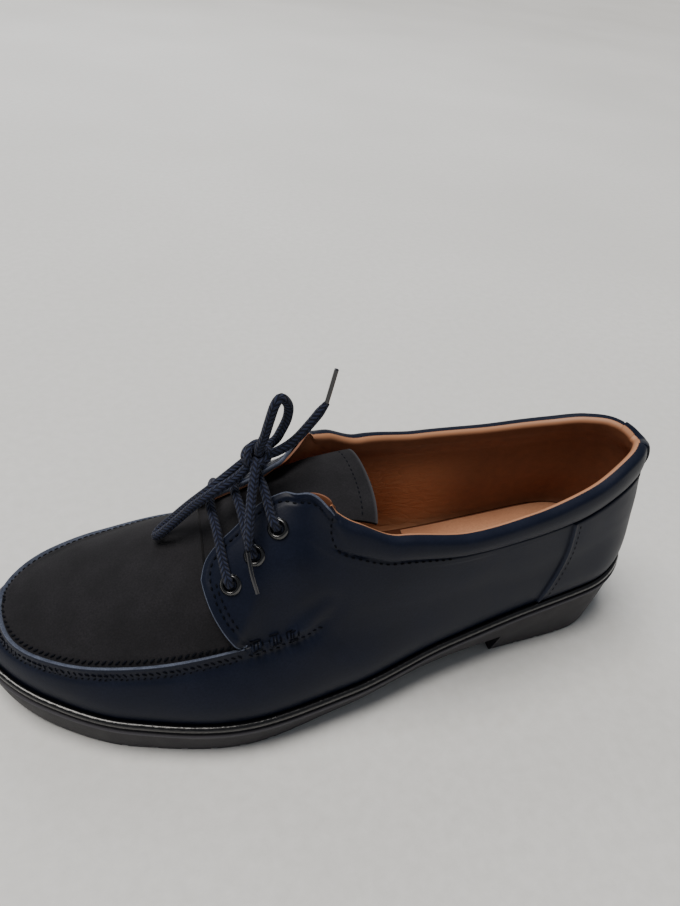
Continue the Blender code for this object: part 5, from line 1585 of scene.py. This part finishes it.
# Sole
@dataclass
class Sole:
    """The moulded sole unit and the glossy bead over its edge."""

    stations: int = 150
    arch: float = 0.0115
    waist_start: float = -0.045
    breast: float = 0.256
    rake: float = 0.0016
    pitch: float = 0.0102
    groove: float = 0.0022
    groove_depth: float = 0.0012
    front_place: float = -0.345
    heel_place: float = 0.305
    front_count: int = 8
    heel_count: int = 4
    reach: float = 0.004
    bead_inset: float = 0.0013
    bead_drop: float = 0.0006
    bead_half_width: float = 0.00125
    bead_half_height: float = 0.00145
    bead_sides: int = 10

    # Inset and drop of the rolled rim, from the deck out and down
    RIM_STEPS = ((0.0040, 0.0), (0.0012, 0.0), (0.0009, 0.0003), (0.0002, 0.0004), (0.0, 0.0007),
                 (0.0, 0.0012), (0.0003, 0.0017), (0.0006, 0.0021))
    # Share of the way down to the tread, and share of the way in to it
    SIDE_STEPS = ((0.12, 0.08), (0.3, 0.24), (0.55, 0.45), (0.75, 0.66), (0.9, 0.85), (0.97, 0.95),
                  (1.0, 1.1))
    # Painted highlight: how pale the rim is painted at some of its steps, for the light line along
    # its ridge
    RIM_HIGHLIGHT_STEPS = ((4, 0.55), (5, 0.55), (3, 0.3), (6, 0.2))

    def ring(self) -> list[tuple[float, int]]:
        """Tracks and sides of a closed loop round the sole."""
        tracks = (1 - np.cos(np.linspace(0, math.pi, self.stations + 1))) / 2
        tracks = 0.5 * tracks + 0.5 * np.linspace(0, 1, self.stations + 1)
        return [(t, OUTER) for t in tracks] + [(t, INNER) for t in tracks[-2:0:-1]]

    def side_point(self, track: float, side: int, inset: float, drop: float) -> Array:
        """A point on the side of the sole at a drop below the rim."""
        x, y = LAST.outline(track, side, inset)
        rim_x, _ = LAST.outline(track, side)
        return np.array([x, y, float(LAST.rim_height(rim_x)) - drop])

    def under_point(self, track: float, side: int, depth: float, lean: float, start: Sequence[float]
                    ) -> Array:
        """A point part of the way down to the tread."""
        under = float(LAST.at("under_inset", track)) * LAST.half
        inset = start[0] + (under - start[0]) * lean
        x, y = LAST.outline(track, side, inset)
        rim_x, _ = LAST.outline(track, side)
        top = float(LAST.rim_height(rim_x)) - start[1]
        floor = LAST.toe_spring * float(LAST.at("toe_lift_under", LAST.along(rim_x)))
        return np.array([x, y, top + (floor - top) * depth])

    def body(self) -> Surface:
        """The sole unit before its arch and tread are cut."""
        levels = [(inset, LAST.deck_drop + drop) for inset, drop in self.RIM_STEPS]
        ring = self.ring()
        layers = [[self.side_point(t, s, a, b) for t, s in ring] for a, b in levels]
        for depth, lean in self.SIDE_STEPS:
            layers.append([self.under_point(t, s, depth, lean, levels[-1]) for t, s in ring])
        size = len(ring)
        points = np.array([p for layer in layers for p in layer])
        faces = [(a, d, c, b) for a, b, c, d in grid_faces(len(layers), size, rolled=True)]
        pairs = [(k, (size - k) % size) for k in range(size // 2 + 1)]
        for start in (0, (len(layers) - 1) * size):
            for (a, b), (c, d) in zip(pairs, pairs[1:]):
                quad = [start + v for v in (a, b, d, c)]
                faces.append(tuple(v for k, v in enumerate(quad) if v != quad[k - 1]))
        # Painted highlight along the rim's ridge, carried by the edge mark
        edge = np.zeros(len(points))
        for k, value in self.RIM_HIGHLIGHT_STEPS:
            edge[k * size:(k + 1) * size] = value
        return Surface(points, faces, {"edge": edge})

    def waist_profile(self) -> list[tuple[float, float]]:
        """Outline in X and Z of the space under the arch."""
        front = self.waist_start * LAST.length
        breast = self.breast * LAST.length
        rise = interpolate((0.0, 0.25, 0.55, 0.85, 1.0), (0.0, 0.10, 0.50, 0.90, 1.0))
        profile = [(front - self.reach / 2, -self.reach), (front, 0.0)]
        profile += [(front + (breast + self.rake - front) * s, self.arch * float(rise(s)))
                    for s in np.linspace(0, 1, 40)[1:]]
        lean = self.rake / self.arch
        return profile + [(breast, 0.0), (breast - lean * self.reach, -self.reach)]

    def cutter(self) -> bpy.types.Object:
        """The arch and every tread groove as one tool."""
        points, faces = [], []
        profile = self.waist_profile()
        size = len(profile)
        points += [(x, y, z) for y in (-0.08, 0.08) for x, z in profile]
        faces += [tuple(range(size)), tuple(range(2 * size - 1, size - 1, -1))]
        faces += [(k, (k + 1) % size, size + (k + 1) % size, size + k) for k in range(size)]
        places = [self.front_place * LAST.length + self.pitch * k for k in range(self.front_count)]
        places += [self.heel_place * LAST.length + self.pitch * k for k in range(self.heel_count)]
        for x in places:
            start = len(points)
            low, high = x - self.groove / 2, x + self.groove / 2
            for y in (-0.07, 0.07):
                points += [(low, y, -self.reach), (high, y, -self.reach),
                           (high, y, self.groove_depth), (low, y, self.groove_depth)]
            faces += [tuple(start + v for v in f) for f in (
                (0, 1, 2, 3), (7, 6, 5, 4), (0, 4, 5, 1), (1, 5, 6, 2), (2, 6, 7, 3), (3, 7, 4, 0))]
        return linked("sole_cutter", mesh_from("sole_cutter", Surface(np.array(points), faces)))

    def build(self) -> None:
        """Make the sole unit and the bead."""
        blank = linked("sole_blank", mesh_from("sole_blank", self.body()))
        tool = self.cutter()
        step = blank.modifiers.new("cut", "BOOLEAN")
        step.operation = "DIFFERENCE"
        step.solver = "EXACT"
        step.use_self = True
        step.object = tool
        graph = bpy.context.evaluated_depsgraph_get()
        made = bpy.data.meshes.new_from_object(blank.evaluated_get(graph))
        made.name = "sole_unit"
        bpy.data.objects.remove(blank)
        bpy.data.objects.remove(tool)
        adopt("sole_unit", made, RUBBER, ["outsole"], 30.0)
        self.make_bead()

    def make_bead(self) -> None:
        """The round glossy bead between the upper and the rim."""
        sides = self.bead_sides
        middle = LAST.feather_inset - self.bead_inset
        points = []
        for t, s in self.ring():
            for k in range(sides):
                angle = math.tau * k / sides
                inset = middle - self.bead_half_width * math.cos(angle)
                drop = self.bead_drop - self.bead_half_height * math.sin(angle)
                points.append(self.side_point(t, s, inset, drop))
        faces = grid_faces(len(points) // sides, sides, closed=True, rolled=True)
        make_piece("glossy_bead", Surface(np.array(points), faces), BEAD, ["welt"],
                   80.0)


# Eyelets and lace
@dataclass
class Eyelets:
    """Six enamelled eyelets through the facings."""

    flange: float = 0.0036
    hole: float = 0.0019
    turns: int = 40
    places: tuple[tuple[float, float], ...] = ((0.4260, 0.58), (0.4520, 0.62), (0.4800, 0.68))

    @staticmethod
    def seat(track: float, share: float, side: int) -> tuple[Array, Array]:
        """Point and outward direction on the raised outer face of a facing."""
        def base(t: float, s: float) -> Array:
            return LAST.quarter_rib(t, side, np.array([1.0]), np.array([0.0, s]))[1][1]

        def turned(point_at: Callable[[float, float], Array], t: float, s: float) -> Array:
            a = point_at(t + 1.5e-3, s) - point_at(t - 1.5e-3, s)
            b = point_at(t, s + 1.5e-2) - point_at(t, s - 1.5e-2)
            return unit(np.cross(a, b) * -side)

        def raised(t: float, s: float) -> Array:
            return base(t, s) + turned(base, t, s) * float(LAST.facing_relief(t, np.array(s)))
        return raised(track, share), turned(raised, track, share)

    def build(self) -> None:
        """Make each eyelet as a turned ring with a rolled flange."""
        flange, hole = self.flange, self.hole
        profile = [
            (hole, -0.0019), (hole, 0.0002), (hole + 0.0001, 0.0006), (hole + 0.0004, 0.0010),
            (hole + 0.0008, 0.00115), (hole + 0.0012, 0.0010), (flange - 0.0002, 0.00055),
            (flange, 0.0003), (flange - 0.0001, 0.0001), (hole + 0.0006, 0.00005),
            (hole + 0.0004, -0.0019)]
        faces = grid_faces(self.turns, len(profile), closed=True, rolled=True)
        for side, word in SIDES:
            for number, (track, share) in enumerate(self.places, 1):
                point, normal = self.seat(track, share, side)
                turn = Vector((0, 0, 1)).rotation_difference(Vector(normal)).to_matrix().to_4x4()
                matrix = Matrix.Translation(Vector(point)) @ turn
                angles = [math.tau * k / self.turns for k in range(self.turns)]
                points = np.array([matrix @ Vector((r * math.cos(a), r * math.sin(a), z))
                                   for a in angles for r, z in profile])
                make_piece(f"eyelet_ring_{word}_{number}", Surface(points, faces), ENAMEL,
                           [f"eyelet_{word}_{number}"], 60.0)
                # A black plug in the barrel stands for the shade down the hole
                self.make_shade_plug(f"{word}_{number}", point, normal)

    def make_shade_plug(self, name: str, point: Array, normal: Array) -> None:
        """A black plug in an eyelet's barrel, as painted shade down its hole."""
        side = unit(np.cross(normal, [0.3, 0.2, 1.0]))
        up = np.cross(normal, side)
        rim = [point - normal * 0.0012 + (self.hole + 0.0002)
               * (math.cos(a) * side + math.sin(a) * up)
               for a in np.linspace(0, math.tau, 20, endpoint=False)]
        low = [p - normal * 0.0004 for p in rim]
        faces = [tuple(range(20)), tuple(range(39, 19, -1))]
        faces += [(k, (k + 1) % 20, 20 + (k + 1) % 20, 20 + k) for k in range(20)]
        make_piece("eyelet_shade_plug_" + name, Surface(np.array(rim + low), faces), ENAMEL)


@dataclass
class Lace:
    """The lace: bars over the throat, a knot, two loops and two tagged ends."""

    diameter: float = 0.0032
    tag_diameter: float = 0.0015
    knot: tuple[float, float, float] = (-0.0312, 0.0012, 0.0970)
    radii: tuple[float, float, float] = (0.0054, 0.0048, 0.0043)
    bridges: tuple[tuple[float, float], ...] = ((-0.1775, 0.0090), (-0.1469, 0.0095),
                                                (-0.1191, 0.01245))
    crown: float = 0.0016
    loop_front: tuple[tuple[float, float, float], ...] = (
        (-0.0318, 0.0018, 0.0965),
        (-0.0350, 0.0030, 0.0926), (-0.0390, 0.0024, 0.0893), (-0.0431, 0.0010, 0.0867),
        (-0.0471, 0.0004, 0.0834), (-0.0530, 0.0030, 0.0755), (-0.0588, 0.0064, 0.0663),
        (-0.0631, 0.0076, 0.0606), (-0.0650, 0.0056, 0.0590), (-0.0623, 0.0030, 0.0635),
        (-0.0569, 0.0010, 0.0711), (-0.0523, -0.0012, 0.0782), (-0.0468, -0.0034, 0.0850),
        (-0.0429, -0.0032, 0.0878), (-0.0389, -0.0020, 0.0896), (-0.0362, -0.0010, 0.0914),
        (-0.0318, 0.0, 0.0960))
    loop_up: tuple[tuple[float, float, float], ...] = (
        (-0.0308, -0.0004, 0.0985),
        (-0.0306, -0.0004, 0.1016), (-0.0294, -0.0010, 0.1057), (-0.0281, -0.0012, 0.1121),
        (-0.0266, -0.0010, 0.1180), (-0.0246, 0.0, 0.1198), (-0.0220, 0.0012, 0.1162),
        (-0.0217, 0.0022, 0.1108), (-0.0231, 0.0034, 0.1047), (-0.0250, 0.0044, 0.0997),
        (-0.0300, 0.0026, 0.0975))
    end_up: tuple[tuple[float, float, float], ...] = (
        (-0.0312, 0.0012, 0.0960), (-0.0252, 0.0003, 0.0982), (-0.0195, 0.0, 0.1026),
        (-0.0145, 0.0, 0.1094), (-0.0098, 0.0, 0.1171))
    tag_up: tuple[tuple[float, float, float], ...] = (
        (-0.0100, 0.0, 0.1168), (-0.0090, 0.0, 0.1230), (-0.0080, 0.0, 0.1295))
    end_down: tuple[tuple[float, float, float], ...] = (
        (-0.0310, 0.0012, 0.0965), (-0.0324, -0.0040, 0.0954), (-0.0342, -0.0105, 0.0908),
        (-0.0354, -0.0158, 0.0876), (-0.0364, -0.0208, 0.0836), (-0.0370, -0.0246, 0.0795))
    tag_down: tuple[tuple[float, float, float], ...] = (
        (-0.0371, -0.0248, 0.0790), (-0.0362, -0.0286, 0.0728), (-0.0346, -0.0314, 0.0666))

    def cord(self, name: str, path: Array, replaces: Sequence[str], radius: float | None = None,
             swell: Array | None = None) -> bpy.types.Object:
        """A length of braided cord as a piece with its own map for the strands."""
        surface, uvs = tube(path, radius or self.diameter / 2, 18, swell)
        mesh = bpy.data.meshes.new(name)
        mesh.from_pydata([tuple(p) for p in surface.points], [], surface.faces)
        layer = mesh.uv_layers.new(name="cord")
        for polygon in mesh.polygons:
            us = [uvs[v] for v in polygon.vertices]
            wraps = max(u for u, _ in us) - min(u for u, _ in us) > 0.5
            for loop, (u, v) in zip(polygon.loop_indices, us):
                layer.data[loop].uv = (u + 1.0 if wraps and u < 0.5 else u, v)
        return adopt(name, mesh, BRAIDED, replaces, 70.0)

    def build(self) -> None:
        """Make the free ends and loops first, then the knot and the bars."""
        for name, route, node in (("loop_forward", self.loop_front, "lace_loop_front"),
                                  ("loop_standing", self.loop_up, "lace_loop_up")):
            path = smooth_route(route, 0.0009)
            self.cord(name, path, [node])
        for name, route, tag_route, nodes in (
                ("end_back", self.end_up, self.tag_up, ("lace_end_1", "aglet_1")),
                ("end_front", self.end_down, self.tag_down, ("lace_end_2", "aglet_2"))):
            path = smooth_route(route, 0.0009)
            taper = np.minimum(1.0, 0.62 + 0.38 * (arc_length(path)[-1] - arc_length(path)) / 0.004)
            item = self.cord(name, path, [nodes[0]], swell=taper)
            tag_path = smooth_route(tag_route, 0.0008)
            surface, _ = tube(tag_path, self.tag_diameter / 2, 14)
            tag = make_piece("tag_" + name, surface, ACETATE, [nodes[1]], 70.0)
        self.make_knot()
        for number in range(3):
            path = smooth_route(self.bar_route(number), 0.0009)
            travel = arc_length(path)
            nearest = np.minimum(travel, travel[-1] - travel)
            squeeze = np.minimum(1.0, 0.72 + 0.28 * nearest / 0.0045)
            self.cord(f"bar_{number + 1}", path, [f"lace_bar_{number + 1}"], swell=squeeze)

    def bar_route(self, number: int) -> list[Array]:
        """Route of one bar: up out of an eyelet, over the throat and down the other."""
        track, share = Eyelets.places[number]
        bridge_share, rise = self.bridges[number]
        x = bridge_share * LAST.length
        bridge = np.array([x, 0.0, float(LAST.crown(x, 0.0)) + rise])
        ends = []
        for side in (OUTER, INNER):
            point, normal = Eyelets.seat(track, share, side)
            start = point + normal * 0.0018 + unit(bridge - point) * 0.0006
            below = point - normal * 0.0014 + unit(bridge - point) * 0.0005
            leave = start + normal * 0.0010 + (bridge - start) * 0.22
            ends.append((below, start, leave,
                         (leave + bridge) / 2 + np.array([0, 0, self.crown])))
        near, far = ends
        return [near[0], near[1], near[2], near[3], bridge, far[3], far[2], far[1], far[0]]

    def make_knot(self) -> None:
        """The knot: a tight core with turns of lace drawn round it."""
        centre = np.array(self.knot)
        a, b, c = self.radii
        core = [centre + np.array([-0.0016, 0.0010, -0.0012]), centre,
                centre + np.array([0.0018, -0.0008, 0.0012])]
        path = smooth_route(core, 0.0006)
        self.cord("knot_core", path, ["lace_knot"], radius=0.0022)
        rings = (((0.15, 0.95, 0.25), (0.95, -0.1, 0.30), 0.78), ((0.75, 0.55, -0.35),
                 (-0.3, 0.2, 0.93), 0.82), ((0.95, -0.15, 0.2), (0.05, 0.9, 0.4), 0.74))
        for number, (first, second, share) in enumerate(rings, 1):
            one = unit(np.array(first))
            two = unit(np.array(second) - one * np.dot(one, second))
            turn = [centre + share * np.array([a, b, c]) * (one * math.cos(t) + two * math.sin(t))
                    for t in np.linspace(0.2, math.tau * 0.93, 30)]
            self.cord(f"knot_turn_{number}", smooth_route(turn, 0.0008), [], radius=0.00136)


# Stage
@dataclass
class Studio:
    """Pale floor, soft lights and the camera at the photograph's angle."""

    position: tuple[float, float, float] = (-0.06260452, -0.18125214, 0.24775401)
    right: tuple[float, float, float] = (0.96786649, -0.22796463, 0.10614418)
    up: tuple[float, float, float] = (0.06282764, 0.62793680, 0.77572422)
    forward: tuple[float, float, float] = (0.24348952, 0.74412869, -0.62208146)
    focal_px: float = 725.5

    def build_camera(self) -> None:
        """Place the camera as the photograph's was."""
        lens = bpy.data.cameras.new("photo_camera")
        lens.sensor_width = FILM_WIDTH
        lens.sensor_fit = "AUTO"
        lens.lens = self.focal_px / PHOTO_LONG_SIDE * FILM_WIDTH
        lens.clip_start = 0.01
        camera = linked("photo_camera", lens)
        matrix = Matrix.Identity(4)
        for column, axis in enumerate((self.right, self.up, tuple(-v for v in self.forward))):
            for row in range(3):
                matrix[row][column] = axis[row]
        matrix.translation = Vector(self.position)
        camera.matrix_world = matrix
        bpy.context.scene.camera = camera

    def add_light(self, name: str, place: tuple[float, float, float], size: float, power: float,
                  colour: str) -> None:
        """A square soft light that looks at the shoe."""
        lamp = bpy.data.lights.new(name, "AREA")
        lamp.shape = "SQUARE"
        lamp.size = size
        lamp.energy = power
        lamp.color = linear(colour)[:3]
        item = linked(name, lamp)
        item.location = place
        aim = Vector((0.0, 0.0, 0.04)) - Vector(place)
        item.rotation_euler = aim.to_track_quat("-Z", "Y").to_euler()

    @staticmethod
    def add_sun(name: str, place: tuple[float, float, float], strength: float, spread: float,
                colour: str) -> None:
        """Even light from far away, as wide as a bright sky through a big window."""
        lamp = bpy.data.lights.new(name, "SUN")
        lamp.energy = strength
        lamp.angle = math.radians(spread)
        lamp.color = linear(colour)[:3]
        item = linked(name, lamp)
        item.rotation_euler = (-Vector(place)).to_track_quat("-Z", "Y").to_euler()

    def build(self) -> None:
        """Floor, world and lights."""
        mesh = bpy.data.meshes.new("floor")
        reach = 6.0
        mesh.from_pydata([(-reach, -reach, 0), (reach, -reach, 0), (reach, reach, 0),
                          (-reach, reach, 0)], [], [(0, 1, 2, 3)])
        mesh.materials.append(FLOOR.material())
        floor = linked("floor", mesh)
        world = bpy.data.worlds.new("studio")
        world.use_nodes = True
        back = world.node_tree.nodes["Background"]
        back.inputs["Color"].default_value = linear("#c9ced6")
        back.inputs["Strength"].default_value = 0.30
        bpy.context.scene.world = world
        self.add_sun("daylight", (-0.30, 0.05, 1.0), 3.4, 36.0, "#fffaf4")
        self.add_light("window", (-0.2, 1.3, 1.1), 0.9, 9.0, "#f2f5fa")


def main() -> None:
    """Build the shoe over its solids."""
    logging.basicConfig(level=logging.INFO, format="%(message)s")
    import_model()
    studio = Studio()
    studio.build_camera()
    for assembly in (Lace(), Sole(), Footbed(), Tongue(), Upper(), Eyelets()):
        LOG.info("building %s", type(assembly).__name__)
        assembly.build()
    studio.build()


if __name__ == "__main__":
    main()
